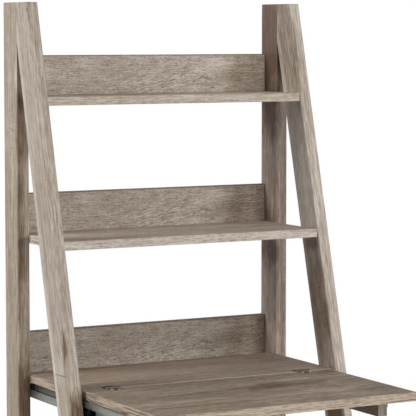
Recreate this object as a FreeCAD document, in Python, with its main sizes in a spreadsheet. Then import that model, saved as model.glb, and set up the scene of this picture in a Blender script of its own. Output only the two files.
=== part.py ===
import FreeCAD, Part
import os
import Sketcher

# Ladder desk: two A-shaped ladder sides joined by three shelves and their back rails.
# The third shelf is the fixed rear half of the desk top. The writing flap is hinged to it
# and swings up between the legs; two arms on roller slides pull out to carry it.
# Millimetres. X runs from left to right, the front faces -Y, and Z is up from the floor.
# The origin is on the floor, in the middle of the desk's width and of its depth when open.

SIZES = {
    # ladder sides: a vertical rear post and a leaning front leg of the same stock
    "overall_width": 650,
    "overall_depth": 637,
    "frame_height": 1525,
    "upright_thick": 26,
    "upright_width": 67,
    "leg_top_reach": 115,
    "leg_slope": 0.26,
    "edge_break": 0.8,
    # shelves and back rails
    "desk_height": 748,
    "middle_shelf_lift": 2,
    "top_shelf_drop": 193,
    "board_thick": 18,
    "rail_thick": 16,
    "rail_rise": 83,
    "rail_cam_share": 0.7,
    "rail_dowel_share": 0.3,
    "cable_gap": 28,
    "lower_rail_height": 240,
    "lower_rail_width": 90,
    # side ties near the floor
    "tie_thick": 16,
    "tie_width": 60,
    "tie_height": 150,
    "tie_dowel_share": 0.25,
    # foot glides
    "glide_height": 4,
    "glide_radius": 10,
    "glide_foot_radius": 8,
    "nail_radius": 1.5,
    "nail_length": 12,
    # dowels, cam bolts and cam locks
    "dowel_radius": 4,
    "dowel_length": 30,
    "dowel_in_upright": 12,
    "crown_dowel_drop": 17,
    "crown_dowel_spacing": 27,
    "bolt_radius": 2.5,
    "bolt_in_upright": 11,
    "bolt_head_radius": 3.2,
    "bolt_head_length": 5,
    "bolt_bore_radius": 3.5,
    "cam_radius": 7.5,
    "cam_depth": 13,
    "cam_setback": 24,
    "joinery_fit": 0.1,
    # writing flap and its hinges
    "joint_setback": 15,
    "joint_gap": 1,
    "flap_side_gap": 9,
    "hinge_inset": 75,
    "hinge_width": 35,
    "hinge_reach": 27,
    "hinge_thick": 3,
    "hinge_seat_gap": 0.2,
    "knuckle_radius": 3,
    "knuckle_end_length": 9,
    "knuckle_gap": 0.3,
    "hinge_pin_radius": 1.5,
    "pin_running_fit": 0.05,
    "hinge_screw_reach": 18,
    "hinge_screw_spacing": 17,
    "screw_radius": 1.6,
    "screw_head_radius": 3.2,
    "screw_head_depth": 0.8,
    "screw_length": 14,
    # roller slides: a fixed channel on the uprights, a runner on the arm
    "sheet_metal": 1.5,
    "track_drop": 14,
    "track_height": 16,
    "track_reach": 10.8,
    "track_lip": 4.5,
    "track_rear": 20,
    "track_past_leg": 13,
    "web_setback": 2.5,
    "web_behind_leg": 17,
    "web_top_gap": 0.3,
    "bracket_length": 28,
    "stop_length": 21,
    "stop_reach": 11,
    "stop_side_gap": 0.3,
    "stop_front_gap": 0.3,
    "runner_behind_leg": 34,
    "runner_setback": 5,
    "runner_reach": 8.5,
    "runner_drop": 15,
    "runner_clearance": 1,
    "runner_top_gap": 1,
    "slide_travel": 200,
    "runner_screw_share": 0.2,
    # rollers and their pins
    "roller_clearance": 0.3,
    "front_roller_radius": 7.3,
    "front_roller_width": 7.7,
    "rear_roller_width": 5.4,
    "rear_roller_inset": 8,
    "roller_end_gap": 0.4,
    "roller_pin_radius": 2,
    "pin_head_radius": 4,
    "pin_head_length": 0.8,
    # support arms
    "arm_past_runner": 13,
    "arm_length": 266,
    "arm_thick": 22,
    "arm_height": 46,
    "arm_top_gap": 0.3,
}

doc = FreeCAD.newDocument("ladder_desk")
sheet = doc.addObject("Spreadsheet::Sheet", "size")
for row, (alias, value) in enumerate(SIZES.items(), start=1):
    sheet.set(f"A{row}", str(value))
    sheet.setAlias(f"A{row}", alias)
doc.recompute()

# Places that several pieces share, as expressions on the sheet. Depths count from the back.
HALF_WIDTH = "(size.overall_width / 2)"
INNER = "(size.overall_width / 2 - size.upright_thick)"
BAY_WIDTH = "(size.overall_width - 2 * size.upright_thick)"
BACK_Y = "(size.overall_depth / 2)"
LEG_RUN = "(size.upright_width * sqrt(1 + size.leg_slope ^ 2))"
DESK_UNDER = "(size.desk_height - size.board_thick)"
TOP_SHELF = "(size.frame_height - size.top_shelf_drop)"
MIDDLE_SHELF = f"((size.desk_height + {TOP_SHELF}) / 2 + size.middle_shelf_lift)"


def from_back(depth):
    """Y of a place at this depth in front of the rear faces."""
    return f"({BACK_Y} - ({depth}))"


def leg_front(height):
    """Depth of the leg's leaning front face at this height."""
    return f"(size.leg_top_reach + size.leg_slope * (size.frame_height - ({height})))"


def leg_middle(height):
    """Depth of the leg's centre line at this height."""
    return f"({leg_front(height)} - {LEG_RUN} / 2)"


DESK_LEG_DEPTH = leg_front("size.desk_height")
JOINT_DEPTH = f"({DESK_LEG_DEPTH} - size.joint_setback)"
AXIS_DEPTH = f"({JOINT_DEPTH} + size.joint_gap / 2)"
POST_MIDDLE = "(size.upright_width / 2)"

# Turns that lay a cylinder's own axis along X, Y or Z; the last one also faces it forward.
QUARTER_TURN = 90
HALF_TURN = 180
FULL_TURN = 360
TURN = {
    "x": FreeCAD.Rotation(FreeCAD.Vector(0, 1, 0), QUARTER_TURN),
    "y": FreeCAD.Rotation(FreeCAD.Vector(1, 0, 0), -QUARTER_TURN),
    "z": FreeCAD.Rotation(),
    "z forward": FreeCAD.Rotation(FreeCAD.Vector(0, 0, 1), HALF_TURN),
}


def place(obj, x, y, z, axis="z"):
    obj.Placement = FreeCAD.Placement(FreeCAD.Vector(), TURN[axis])
    obj.setExpression("Placement.Base.x", x)
    obj.setExpression("Placement.Base.y", y)
    obj.setExpression("Placement.Base.z", z)
    return obj


def primitive(kind, label, settings, x, y, z, axis="z"):
    obj = doc.addObject(f"Part::{kind}", label)
    obj.Label = label
    for name, expression in settings.items():
        obj.setExpression(name, expression)
    return place(obj, x, y, z, axis)


def box(label, length, width, height, x, y, z):
    return primitive("Box", label, {"Length": length, "Width": width, "Height": height}, x, y, z)


def rod(label, radius, length, axis, x, y, z):
    return primitive("Cylinder", label, {"Radius": radius, "Height": length}, x, y, z, axis)


# Fasteners and the holes they hide in are drawn as prisms, which need far fewer facets.
PIN_SIDES = 8
HEAD_SIDES = 12
CAM_SIDES = 16


def prism(label, sides, radius, length, axis, x, y, z):
    obj = primitive("Prism", label, {"Circumradius": radius, "Height": length}, x, y, z, axis)
    obj.Polygon = sides
    return obj


def cone(label, first_radius, last_radius, length, axis, x, y, z):
    settings = {"Radius1": first_radius, "Radius2": last_radius, "Height": length}
    return primitive("Cone", label, settings, x, y, z, axis)


def fuse(label, members):
    obj = doc.addObject("Part::MultiFuse", label)
    obj.Label = label
    obj.Shapes = members
    return obj


def group(label, members):
    obj = doc.addObject("Part::Compound", label)
    obj.Label = label
    obj.Links = members
    return obj


def cut(label, base, tool):
    obj = doc.addObject("Part::Cut", label)
    obj.Label = label
    obj.Base = base
    obj.Tool = tool
    return obj


def mirrored(label, source):
    """The right-hand twin of a left-hand piece."""
    obj = doc.addObject("Part::Mirroring", label)
    obj.Label = label
    obj.Source = source
    obj.Normal = FreeCAD.Vector(1, 0, 0)
    obj.Base = FreeCAD.Vector(0, 0, 0)
    return obj


def new_body(label):
    body = doc.addObject("PartDesign::Body", label)
    body.Label = label
    return body


def outline(body, name, role, points, offset=None):
    """A closed outline of straight lines, each corner held by expressions from the body's origin."""
    sketch = body.newObject("Sketcher::SketchObject", name)
    plane = [item for item in body.Origin.OriginFeatures if item.Role == role][0]
    sketch.AttachmentSupport = [(plane, "")]
    sketch.MapMode = "FlatFace"
    if offset:
        sketch.setExpression("AttachmentOffset.Base.z", offset)
    values = [[float(sheet.evalExpression(place_text)) for place_text in point] for point in points]
    corners = [FreeCAD.Vector(across, up, 0) for across, up in values]
    count = len(corners)
    for index in range(count):
        sketch.addGeometry(Part.LineSegment(corners[index], corners[(index + 1) % count]), False)
    for index in range(count):
        sketch.addConstraint(Sketcher.Constraint("Coincident", index, 2, (index + 1) % count, 1))
    kinds = ("DistanceX", "DistanceY")
    axis_lines = (-2, -1)
    for index, point in enumerate(points):
        for kind, axis_line, place_text, value in zip(kinds, axis_lines, point, values[index]):
            if place_text == "0":
                sketch.addConstraint(Sketcher.Constraint("PointOnObject", index, 1, axis_line))
                continue
            number = sketch.addConstraint(Sketcher.Constraint(kind, -1, 1, index, 1, value))
            sketch.setExpression(f"Constraints[{number}]", place_text)
    return sketch


def pad(body, name, sketch, length):
    feature = body.newObject("PartDesign::Pad", name)
    feature.Profile = sketch
    feature.setExpression("Length", length)
    return feature


def break_edges(body, feature):
    """The small chamfer that every sawn and banded board edge has."""
    doc.recompute()
    chamfer = body.newObject("PartDesign::Chamfer", "broken_edges")
    chamfer.Base = (feature, ["Edge1"])
    chamfer.UseAllEdges = True
    chamfer.setExpression("Size", "size.edge_break")
    return chamfer


def board(label, length, width, height, x, y, z):
    """A rectangular board with broken edges, placed by its left, front, lower corner."""
    body = new_body(label)
    sketch = outline(body, "face", "XY_Plane", [("0", "0"), (length, "0"), (length, width), ("0", width)])
    break_edges(body, pad(body, "thickness", sketch, height))
    return place(body, x, y, z)


def side_profile(label, points, thick, x, y, z):
    """A board sawn to a profile seen from the side, with broken edges."""
    body = new_body(label)
    break_edges(body, pad(body, "thickness", outline(body, "profile", "YZ_Plane", points), thick))
    return place(body, x, y, z)


# Joinery. Every dowel and bolt has a hole that cuts both boards it joins. The lists gather
# the left-hand pieces; their right-hand twins are mirrored.
dowels = []
bolt_pins = []
cam_discs = []


def dowel(label, axis, x, y, z):
    """One dowel from its first end, and the hole for it."""
    size = ("size.dowel_radius", "size.dowel_length")
    dowels.append(prism(f"{label}_dowel", PIN_SIDES, *size, axis, x, y, z))
    start = {"x": x, "y": y, "z": z}
    start[axis] = f"({start[axis]}) - size.joinery_fit"
    radius = "size.dowel_radius + size.joinery_fit"
    length = "size.dowel_length + 2 * size.joinery_fit"
    return prism(f"{label}_dowel_hole", PIN_SIDES, radius, length, axis, *start.values())


def inner_dowel(label, y, z):
    """A dowel across the left upright's inner face."""
    return dowel(label, "x", f"-{INNER} - size.dowel_in_upright", y, z)


def cam_fitting(label, y, z, cam_axis, cam_y, cam_z):
    """A bolt in the left upright and the cam lock in the board that it draws up."""
    upright_start = f"-{INNER} - size.bolt_in_upright"
    reach = "(size.cam_setback - size.cam_radius)"
    head_start = f"-{INNER} + {reach} - size.bolt_head_length"
    head = ("size.bolt_head_radius", "size.bolt_head_length")
    shank = ("size.bolt_radius", f"size.bolt_in_upright + {reach}")
    bolt_pins.append(prism(f"{label}_shank", PIN_SIDES, *shank, "x", upright_start, y, z))
    bolt_pins.append(prism(f"{label}_head", PIN_SIDES, *head, "x", head_start, y, z))
    cam_place = (cam_axis, f"-{INNER} + size.cam_setback", cam_y, cam_z)
    cam_radius = "size.cam_radius - size.joinery_fit"
    cam_discs.append(prism(f"{label}_cam", CAM_SIDES, cam_radius, "size.cam_depth", *cam_place))
    bore = ("size.bolt_bore_radius", "size.cam_setback")
    board_cuts = [
        prism(f"{label}_bolt_bore", PIN_SIDES, *bore, "x", f"-{INNER}", y, z),
        prism(f"{label}_cam_pocket", CAM_SIDES, "size.cam_radius", "size.cam_depth", *cam_place),
    ]
    thin = ("size.bolt_radius + size.joinery_fit", "size.bolt_in_upright + 2 * size.joinery_fit")
    thin_start = f"{upright_start} - size.joinery_fit"
    return board_cuts, prism(f"{label}_bolt_hole", PIN_SIDES, *thin, "x", thin_start, y, z)


post_tools = []
leg_tools = []

# Shelves: each runs between the ladder sides from its rear edge to the legs' front face.
SHELVES = {
    "top_shelf": (TOP_SHELF, "size.rail_thick", leg_front(TOP_SHELF)),
    "middle_shelf": (MIDDLE_SHELF, "size.rail_thick", leg_front(MIDDLE_SHELF)),
    "desk_shelf": ("size.desk_height", "(size.rail_thick + size.cable_gap)", JOINT_DEPTH),
}
shelf_blanks = {}
shelf_tools = {}
for name, (top, rear, front) in SHELVES.items():
    under = f"({top} - size.board_thick)"
    depth = f"({front} - {rear})"
    shelf_blanks[name] = board(
        f"{name}_blank", BAY_WIDTH, depth, "size.board_thick", f"-{INNER}", from_back(front), under
    )
    axis_z = f"({top} - size.board_thick / 2)"
    post_y = from_back(f"({rear} + size.upright_width) / 2")
    bores, bolt_hole = cam_fitting(name, post_y, axis_z, "z", post_y, under)
    dowel_hole = inner_dowel(name, from_back(leg_middle(axis_z)), axis_z)
    post_tools.append(bolt_hole)
    leg_tools.append(dowel_hole)
    shelf_tools[name] = [*bores, dowel_hole]

# Back rails: flush with the posts' rear faces, level with their shelf's underside.
RAIL_HEIGHT = "(size.board_thick + size.rail_rise)"
RAILS = {
    "top_back_rail": (f"({TOP_SHELF} - size.board_thick)", RAIL_HEIGHT),
    "middle_back_rail": (f"({MIDDLE_SHELF} - size.board_thick)", RAIL_HEIGHT),
    "desk_back_rail": (DESK_UNDER, RAIL_HEIGHT),
    "lower_back_rail": ("size.lower_rail_height", "size.lower_rail_width"),
}
rail_blanks = {}
rail_tools = {}
for name, (bottom, height) in RAILS.items():
    front_y = from_back("size.rail_thick")
    rail_blanks[name] = board(
        f"{name}_blank", BAY_WIDTH, "size.rail_thick", height, f"-{INNER}", front_y, bottom
    )
    axis_y = from_back("size.rail_thick / 2")
    cam_z = f"{bottom} + {height} * size.rail_cam_share"
    dowel_z = f"{bottom} + {height} * size.rail_dowel_share"
    cam_start = from_back("size.cam_depth")
    bores, hole = cam_fitting(name, axis_y, cam_z, "y", cam_start, cam_z)
    dowel_hole = inner_dowel(name, axis_y, dowel_z)
    post_tools.extend([hole, dowel_hole])
    rail_tools[name] = [*bores, dowel_hole]

# Side tie between post and leg near the floor; its front end is sawn to the leg's lean.
UPRIGHT_MIDDLE = f"(size.upright_thick / 2 - {HALF_WIDTH})"
tie_front = f"({leg_front('size.tie_height')} - {LEG_RUN})"
tie_length = f"({tie_front} - size.upright_width)"
tie_blank = side_profile(
    "left_side_tie_blank",
    [
        ("0", "0"),
        (tie_length, "0"),
        (tie_length, "size.tie_width"),
        ("size.leg_slope * size.tie_width", "size.tie_width"),
    ],
    "size.tie_thick",
    f"{UPRIGHT_MIDDLE} - size.tie_thick / 2",
    from_back(tie_front),
    "size.tie_height",
)
tie_tools = []
for name, share in (("upper", "(1 - size.tie_dowel_share)"), ("lower", "size.tie_dowel_share")):
    dowel_z = f"size.tie_height + size.tie_width * {share}"
    seat = f"({leg_front(dowel_z)} - {LEG_RUN})"
    rear_start = from_back("size.upright_width + size.dowel_length - size.dowel_in_upright")
    front_start = from_back(f"{seat} + size.dowel_in_upright")
    rear_hole = dowel(f"tie_rear_{name}", "y", UPRIGHT_MIDDLE, rear_start, dowel_z)
    front_hole = dowel(f"tie_front_{name}", "y", UPRIGHT_MIDDLE, front_start, dowel_z)
    post_tools.append(rear_hole)
    leg_tools.append(front_hole)
    tie_tools.extend([rear_hole, front_hole])

# The leg's top is glued and dowelled to the post's front face.
for name, drop in (
    ("upper", "size.crown_dowel_drop"),
    ("lower", "(size.crown_dowel_drop + size.crown_dowel_spacing)"),
):
    dowel_z = f"size.frame_height - {drop}"
    crown_start = from_back("size.upright_width + size.dowel_length / 2")
    hole = dowel(f"crown_{name}", "y", UPRIGHT_MIDDLE, crown_start, dowel_z)
    post_tools.append(hole)
    leg_tools.append(hole)

# Foot glides: a plastic disc on a nail under each post and leg.
FOOT_DEPTH = leg_front("size.glide_height")
glide_solids = []
for name, depth, upright_tools in (
    ("post_glide", POST_MIDDLE, post_tools),
    ("leg_glide", f"({FOOT_DEPTH} - {LEG_RUN} / 2)", leg_tools),
):
    on_floor = (UPRIGHT_MIDDLE, from_back(depth), "0")
    on_disc = (UPRIGHT_MIDDLE, from_back(depth), "size.glide_height")
    radii = ("size.glide_foot_radius", "size.glide_radius")
    glide_solids.append(cone(f"{name}_disc", *radii, "size.glide_height", "z", *on_floor))
    nail = ("size.nail_radius", "size.nail_length")
    glide_solids.append(prism(f"{name}_nail", PIN_SIDES, *nail, "z", *on_disc))
    nail_hole = [f"{length} + size.joinery_fit" for length in nail]
    upright_tools.append(prism(f"{name}_hole", PIN_SIDES, *nail_hole, "z", *on_disc))

# Uprights: the post is straight; the leg leans back to the post and is sawn flush along it.
UPRIGHT_LENGTH = "(size.frame_height - size.glide_height)"
post_blank = board(
    "left_rear_post_blank",
    "size.upright_thick",
    "size.upright_width",
    UPRIGHT_LENGTH,
    f"-{HALF_WIDTH}",
    from_back("size.upright_width"),
    "size.glide_height",
)
seam = f"({FOOT_DEPTH} - size.upright_width)"
leg_blank = side_profile(
    "left_front_leg_blank",
    [
        ("0", "0"),
        (LEG_RUN, "0"),
        (seam, f"({seam} - {LEG_RUN}) / size.leg_slope"),
        (seam, UPRIGHT_LENGTH),
        (f"size.leg_slope * {UPRIGHT_LENGTH}", UPRIGHT_LENGTH),
    ],
    "size.upright_thick",
    f"-{HALF_WIDTH}",
    from_back(FOOT_DEPTH),
    "size.glide_height",
)


# Screws: a flat head and a plain shank, driven along one axis.
def screw(label, axis, sign, x, y, z):
    """A screw whose head face is flush at the given place, with its head's seat and its hole."""
    head_start = {"x": x, "y": y, "z": z}
    shank_start = dict(head_start)
    if sign < 0:
        head_start[axis] = f"({head_start[axis]}) - size.screw_head_depth"
        shank_start[axis] = f"({shank_start[axis]}) - size.screw_length"
    head_place = ("size.screw_head_depth", axis, *head_start.values())
    shank_place = ("size.screw_length", axis, *shank_start.values())
    solids = [
        prism(f"{label}_head", HEAD_SIDES, "size.screw_head_radius", *head_place),
        prism(f"{label}_shank", PIN_SIDES, "size.screw_radius", *shank_place),
    ]
    cuts = [
        prism(f"{label}_seat", HEAD_SIDES, "size.screw_head_radius + size.joinery_fit", *head_place),
        prism(f"{label}_hole", PIN_SIDES, "size.screw_radius + size.joinery_fit", *shank_place),
    ]
    return solids, cuts


# Slide channel: a C-shaped track against the uprights, with a set-back web above it, and at
# the front a bracket whose inner ear carries the front roller.
TRACK_BOTTOM = f"({DESK_UNDER} - size.track_drop - size.track_height)"
TRACK_TOP = f"({DESK_UNDER} - size.track_drop)"
TRACK_FRONT = f"({DESK_LEG_DEPTH} + size.track_past_leg)"
TRACK_LENGTH = f"({TRACK_FRONT} - size.track_rear)"
RUNNER_REAR = f"({DESK_LEG_DEPTH} - size.runner_behind_leg)"
tip = "size.track_reach"
tip_inside = "(size.track_reach - size.sheet_metal)"
metal = "size.sheet_metal"
ceiling = "(size.track_height - size.sheet_metal)"
channel_blank = new_body("left_slide_channel_blank")
track_section = [
    ("0", "0"),
    (tip, "0"),
    (tip, "size.track_lip"),
    (tip_inside, "size.track_lip"),
    (tip_inside, metal),
    (metal, metal),
    (metal, ceiling),
    (tip_inside, ceiling),
    (tip_inside, "size.track_height - size.track_lip"),
    (tip, "size.track_height - size.track_lip"),
    (tip, "size.track_height"),
    ("0", "size.track_height"),
]
track_sketch = outline(channel_blank, "track_section", "XZ_Plane", track_section)
pad(channel_blank, "track", track_sketch, TRACK_LENGTH)
web_rear = f"({RUNNER_REAR} - size.slide_travel - size.stop_front_gap)"
web_top = "(size.track_height + size.track_drop - size.web_top_gap)"
web_section = [
    ("size.web_setback", ceiling),
    ("size.web_setback + size.sheet_metal", ceiling),
    ("size.web_setback + size.sheet_metal", web_top),
    ("size.web_setback", web_top),
]
web_sketch = outline(channel_blank, "web_section", "XZ_Plane", web_section, f"{web_rear} - size.track_rear")
pad(channel_blank, "web", web_sketch, f"{DESK_LEG_DEPTH} - size.web_behind_leg - {web_rear}")
bracket_section = [
    ("0", "0"),
    (tip, "0"),
    (tip, "size.track_height"),
    (tip_inside, "size.track_height"),
    (tip_inside, metal),
    ("0", metal),
]
bracket_sketch = outline(channel_blank, "bracket_section", "XZ_Plane", bracket_section, TRACK_LENGTH)
pad(channel_blank, "bracket", bracket_sketch, "size.bracket_length")
place(channel_blank, f"-{INNER}", from_back("size.track_rear"), TRACK_BOTTOM)

# Runner: a Z-shaped rail on the arm. Its flange rides on the front roller, its lip hides the edge.
RUNNER_UNDER = f"({TRACK_TOP} + size.runner_clearance)"
RUNNER_BOTTOM = f"({RUNNER_UNDER} - size.runner_drop)"
RUNNER_X = f"(-{INNER} + size.runner_setback)"
ARM_OUTER_X = f"(-{INNER} + size.runner_setback + size.runner_reach)"
ARM_FRONT = f"({RUNNER_REAR} - size.arm_past_runner + size.arm_length)"
RUNNER_LENGTH = f"({ARM_FRONT} - {RUNNER_REAR})"
runner_lip = "(size.runner_drop + size.track_drop - size.runner_clearance - size.runner_top_gap)"
runner_blank = new_body("left_runner_blank")
runner_section = [
    ("size.runner_reach - size.sheet_metal", "0"),
    ("size.runner_reach", "0"),
    ("size.runner_reach", "size.runner_drop + size.sheet_metal"),
    (metal, "size.runner_drop + size.sheet_metal"),
    (metal, runner_lip),
    ("0", runner_lip),
    ("0", "size.runner_drop"),
    ("size.runner_reach - size.sheet_metal", "size.runner_drop"),
]
pad(runner_blank, "rail", outline(runner_blank, "section", "XZ_Plane", runner_section), RUNNER_LENGTH)
place(runner_blank, RUNNER_X, from_back(RUNNER_REAR), RUNNER_BOTTOM)


# Rollers: turned nylon wheels that run on riveted pins.
def roller(label, radius, width, x, y, z):
    body = new_body(label)
    bore = "(size.roller_pin_radius + size.pin_running_fit)"
    sketch = outline(body, "tread", "XY_Plane", [("0", bore), (width, bore), (width, radius), ("0", radius)])
    turning = body.newObject("PartDesign::Revolution", "turning")
    turning.Profile = sketch
    turning.ReferenceAxis = (sketch, ["H_Axis"])
    turning.Angle = FULL_TURN
    return place(body, x, y, z)


def roller_pin(label, head_x, length, y, z):
    """A rivet whose flat head faces the ladder side."""
    head_size = ("size.pin_head_radius", "size.pin_head_length")
    head = prism(f"{label}_head", HEAD_SIDES, *head_size, "x", head_x, y, z)
    shank = rod(f"{label}_shank", "size.roller_pin_radius", length, "x", head_x, y, z)
    return fuse(label, [head, shank])


FRONT_AXLE_Z = f"({RUNNER_UNDER} - size.roller_clearance - size.front_roller_radius)"
FRONT_AXLE_Y = from_back(f"{TRACK_FRONT} + size.bracket_length / 2")
FRONT_ROLLER_X = f"(-{INNER} + {tip_inside} - size.roller_end_gap - size.front_roller_width)"
left_front_roller = roller(
    "left_front_roller",
    "size.front_roller_radius",
    "size.front_roller_width",
    FRONT_ROLLER_X,
    FRONT_AXLE_Y,
    FRONT_AXLE_Z,
)
front_head_x = f"({FRONT_ROLLER_X} - size.roller_end_gap - size.pin_head_length)"
front_pin_length = f"(-{INNER} + size.track_reach - {front_head_x})"
left_front_pin = roller_pin(
    "left_front_roller_pin", front_head_x, front_pin_length, FRONT_AXLE_Y, FRONT_AXLE_Z
)
pin_hole_radius = "size.roller_pin_radius + size.pin_running_fit"
ear_x = f"-{INNER} + {tip_inside} - size.roller_end_gap"
ear_hole = rod("front_ear_hole", pin_hole_radius, "size.track_reach", "x", ear_x, FRONT_AXLE_Y, FRONT_AXLE_Z)

REAR_ROLLER_RADIUS = "(size.track_height / 2 - size.sheet_metal - size.roller_clearance)"
REAR_AXLE_Z = f"({TRACK_BOTTOM} + size.track_height / 2)"
REAR_AXLE_Y = from_back(f"{RUNNER_REAR} + size.rear_roller_inset")
REAR_ROLLER_X = f"(-{INNER} + {tip_inside} - size.roller_end_gap - size.rear_roller_width)"
left_rear_roller = roller(
    "left_rear_roller", REAR_ROLLER_RADIUS, "size.rear_roller_width", REAR_ROLLER_X, REAR_AXLE_Y, REAR_AXLE_Z
)
rear_head_x = f"({REAR_ROLLER_X} - size.roller_end_gap - size.pin_head_length)"
rear_pin_length = f"({ARM_OUTER_X} - {rear_head_x})"
left_rear_pin = roller_pin("left_rear_roller_pin", rear_head_x, rear_pin_length, REAR_AXLE_Y, REAR_AXLE_Z)
runner_pin_hole = rod(
    "runner_pin_hole", pin_hole_radius, "size.runner_reach", "x", RUNNER_X, REAR_AXLE_Y, REAR_AXLE_Z
)

# Rear stop: a rubber block on the track that the runner's rear end meets when the arm is in.
stop_height = "size.track_drop - size.web_top_gap - size.runner_top_gap"
left_stop = box(
    "left_rear_stop",
    "size.stop_reach",
    "size.stop_length",
    stop_height,
    f"-{INNER} + size.stop_side_gap",
    from_back(web_rear),
    TRACK_TOP,
)

# Slide screws go through the track's web into post and leg; runner screws into the arm.
slide_screw_solids = []
channel_tools = [ear_hole]
for name, depth, upright_tools in (
    ("post", "(size.track_rear + size.upright_width) / 2", post_tools),
    ("leg", leg_middle(REAR_AXLE_Z), leg_tools),
):
    solids, holes = screw(f"slide_{name}", "x", -1, f"-{INNER} + {metal}", from_back(depth), REAR_AXLE_Z)
    slide_screw_solids.extend(solids)
    channel_tools.extend(holes)
    upright_tools.append(holes[1])

runner_screw_solids = []
runner_tools = [runner_pin_hole]
arm_tools = []
for name, share in (("rear", "size.runner_screw_share"), ("front", "(1 - size.runner_screw_share)")):
    screw_y = from_back(f"{RUNNER_REAR} + {RUNNER_LENGTH} * {share}")
    head_x = f"({ARM_OUTER_X} - size.sheet_metal)"
    solids, holes = screw(f"runner_{name}", "x", 1, head_x, screw_y, REAR_AXLE_Z)
    runner_screw_solids.extend(solids)
    runner_tools.extend(holes)
    arm_tools.append(holes[1])

# Support arm: a plain bar behind the runner, just under the desk top.
arm_blank = board(
    "left_arm_blank",
    "size.arm_thick",
    "size.arm_length",
    "size.arm_height",
    ARM_OUTER_X,
    from_back(ARM_FRONT),
    f"{DESK_UNDER} - size.arm_top_gap - size.arm_height",
)

# Writing flap, in front of the joint line.
FLAP_X = f"(-{INNER} + size.flap_side_gap)"
FLAP_REAR = f"({JOINT_DEPTH} + size.joint_gap)"
flap_blank = board(
    "flap_blank",
    f"({BAY_WIDTH} - 2 * size.flap_side_gap)",
    f"(size.overall_depth - {FLAP_REAR})",
    "size.board_thick",
    FLAP_X,
    f"-{BACK_Y}",
    DESK_UNDER,
)

# Flap hinge: two round-ended plates let in flush across the joint, with a knuckle whose axis
# lies in the desk's top face, so that the flap can turn up past the vertical.
HINGE_X = f"(-{INNER} + size.hinge_inset - size.hinge_width / 2)"
HINGE_MIDDLE = f"(-{INNER} + size.hinge_inset)"
HINGE_AXIS_Y = from_back(AXIS_DEPTH)
PLATE_UNDER = "(size.desk_height - size.hinge_thick)"
nose_radius = "(size.hinge_width / 2)"
end_knuckle = "size.knuckle_end_length"
middle_start = f"({HINGE_X} + {end_knuckle} + size.knuckle_gap)"
middle_length = f"(size.hinge_width - 2 * {end_knuckle} - 2 * size.knuckle_gap)"
last_start = f"({HINGE_X} + size.hinge_width - {end_knuckle})"


def plate_forms(label, side, start, grow, under, height):
    """A plate's bar, from its start beside the axis, and its half-round nose.

    The side is 1 behind the hinge axis and -1 in front of it.
    """
    nose_y = f"({HINGE_AXIS_Y} + {side} * (size.hinge_reach - {nose_radius}))"
    bar_width = f"size.hinge_width + 2 * {grow}"
    bar_length = f"(size.hinge_reach - {nose_radius} - {start})"
    bar_y = f"({HINGE_AXIS_Y} + {start})" if side > 0 else nose_y
    bar = box(f"{label}_bar", bar_width, bar_length, height, f"{HINGE_X} - {grow}", bar_y, under)
    facing = "z" if side > 0 else "z forward"
    nose = rod(f"{label}_nose", f"{nose_radius} + {grow}", height, facing, HINGE_MIDDLE, nose_y, under)
    nose.Angle = HALF_TURN
    return [bar, nose]


def hinge_leaf(label, side, own_knuckles, other_knuckles):
    """One leaf with its knuckles, pin bore and two flush screws, and the seat it needs."""
    axis = (HINGE_AXIS_Y, "size.desk_height")
    forms = plate_forms(label, side, "size.joint_gap / 2", "0", PLATE_UNDER, "size.hinge_thick")
    for number, (start, length) in enumerate(own_knuckles):
        forms.append(rod(f"{label}_knuckle_{number}", "size.knuckle_radius", length, "x", start, *axis))
    tools = []
    room = "(size.knuckle_radius + size.knuckle_gap)"
    room_y = HINGE_AXIS_Y if side > 0 else f"{HINGE_AXIS_Y} - {room}"
    notch_under = f"{PLATE_UNDER} - size.knuckle_gap"
    notch_height = "size.hinge_thick + 2 * size.knuckle_gap"
    for number, (start, length) in enumerate(other_knuckles):
        room_start = f"{start} - size.knuckle_gap"
        room_length = f"{length} + 2 * size.knuckle_gap"
        notch = (room_length, room, notch_height, room_start, room_y, notch_under)
        tools.append(box(f"{label}_room_{number}", *notch))
    bore_radius = "size.hinge_pin_radius + size.pin_running_fit"
    tools.append(rod(f"{label}_bore", bore_radius, "size.hinge_width", "x", HINGE_X, *axis))
    screw_y = f"({HINGE_AXIS_Y} + {side} * size.hinge_screw_reach)"
    screws = []
    seat_under = f"({PLATE_UNDER} - size.hinge_seat_gap)"
    seat = plate_forms(f"{label}_seat", side, "0", "size.hinge_seat_gap", seat_under, "size.board_thick")
    for name, direction in (("left", -1), ("right", 1)):
        screw_x = f"{HINGE_MIDDLE} + {direction} * size.hinge_screw_spacing / 2"
        solids, holes = screw(f"{label}_screw_{name}", "z", -1, screw_x, screw_y, "size.desk_height")
        screws.extend(solids)
        tools.extend(holes)
        seat.append(holes[1])
    leaf = cut(label, fuse(f"{label}_forms", forms), fuse(f"{label}_cuts", tools))
    return leaf, screws, seat


end_knuckles = [(HINGE_X, end_knuckle), (last_start, end_knuckle)]
middle_knuckle = [(middle_start, middle_length)]
left_shelf_leaf, shelf_leaf_screws, shelf_seat = hinge_leaf(
    "left_hinge_shelf_leaf", 1, end_knuckles, middle_knuckle
)
left_flap_leaf, flap_leaf_screws, flap_seat = hinge_leaf(
    "left_hinge_flap_leaf", -1, middle_knuckle, end_knuckles
)
shelf_tools["desk_shelf"].extend(shelf_seat)
left_hinge_pin = rod(
    "left_hinge_pin",
    "size.hinge_pin_radius",
    "size.hinge_width",
    "x",
    HINGE_X,
    HINGE_AXIS_Y,
    "size.desk_height",
)

# Finished pieces: left-hand ones with their holes, and their right-hand twins.
pieces = []


def pair(name, left):
    left.Label = f"left_{name}"
    pieces.extend([left, mirrored(f"right_{name}", left)])


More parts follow.
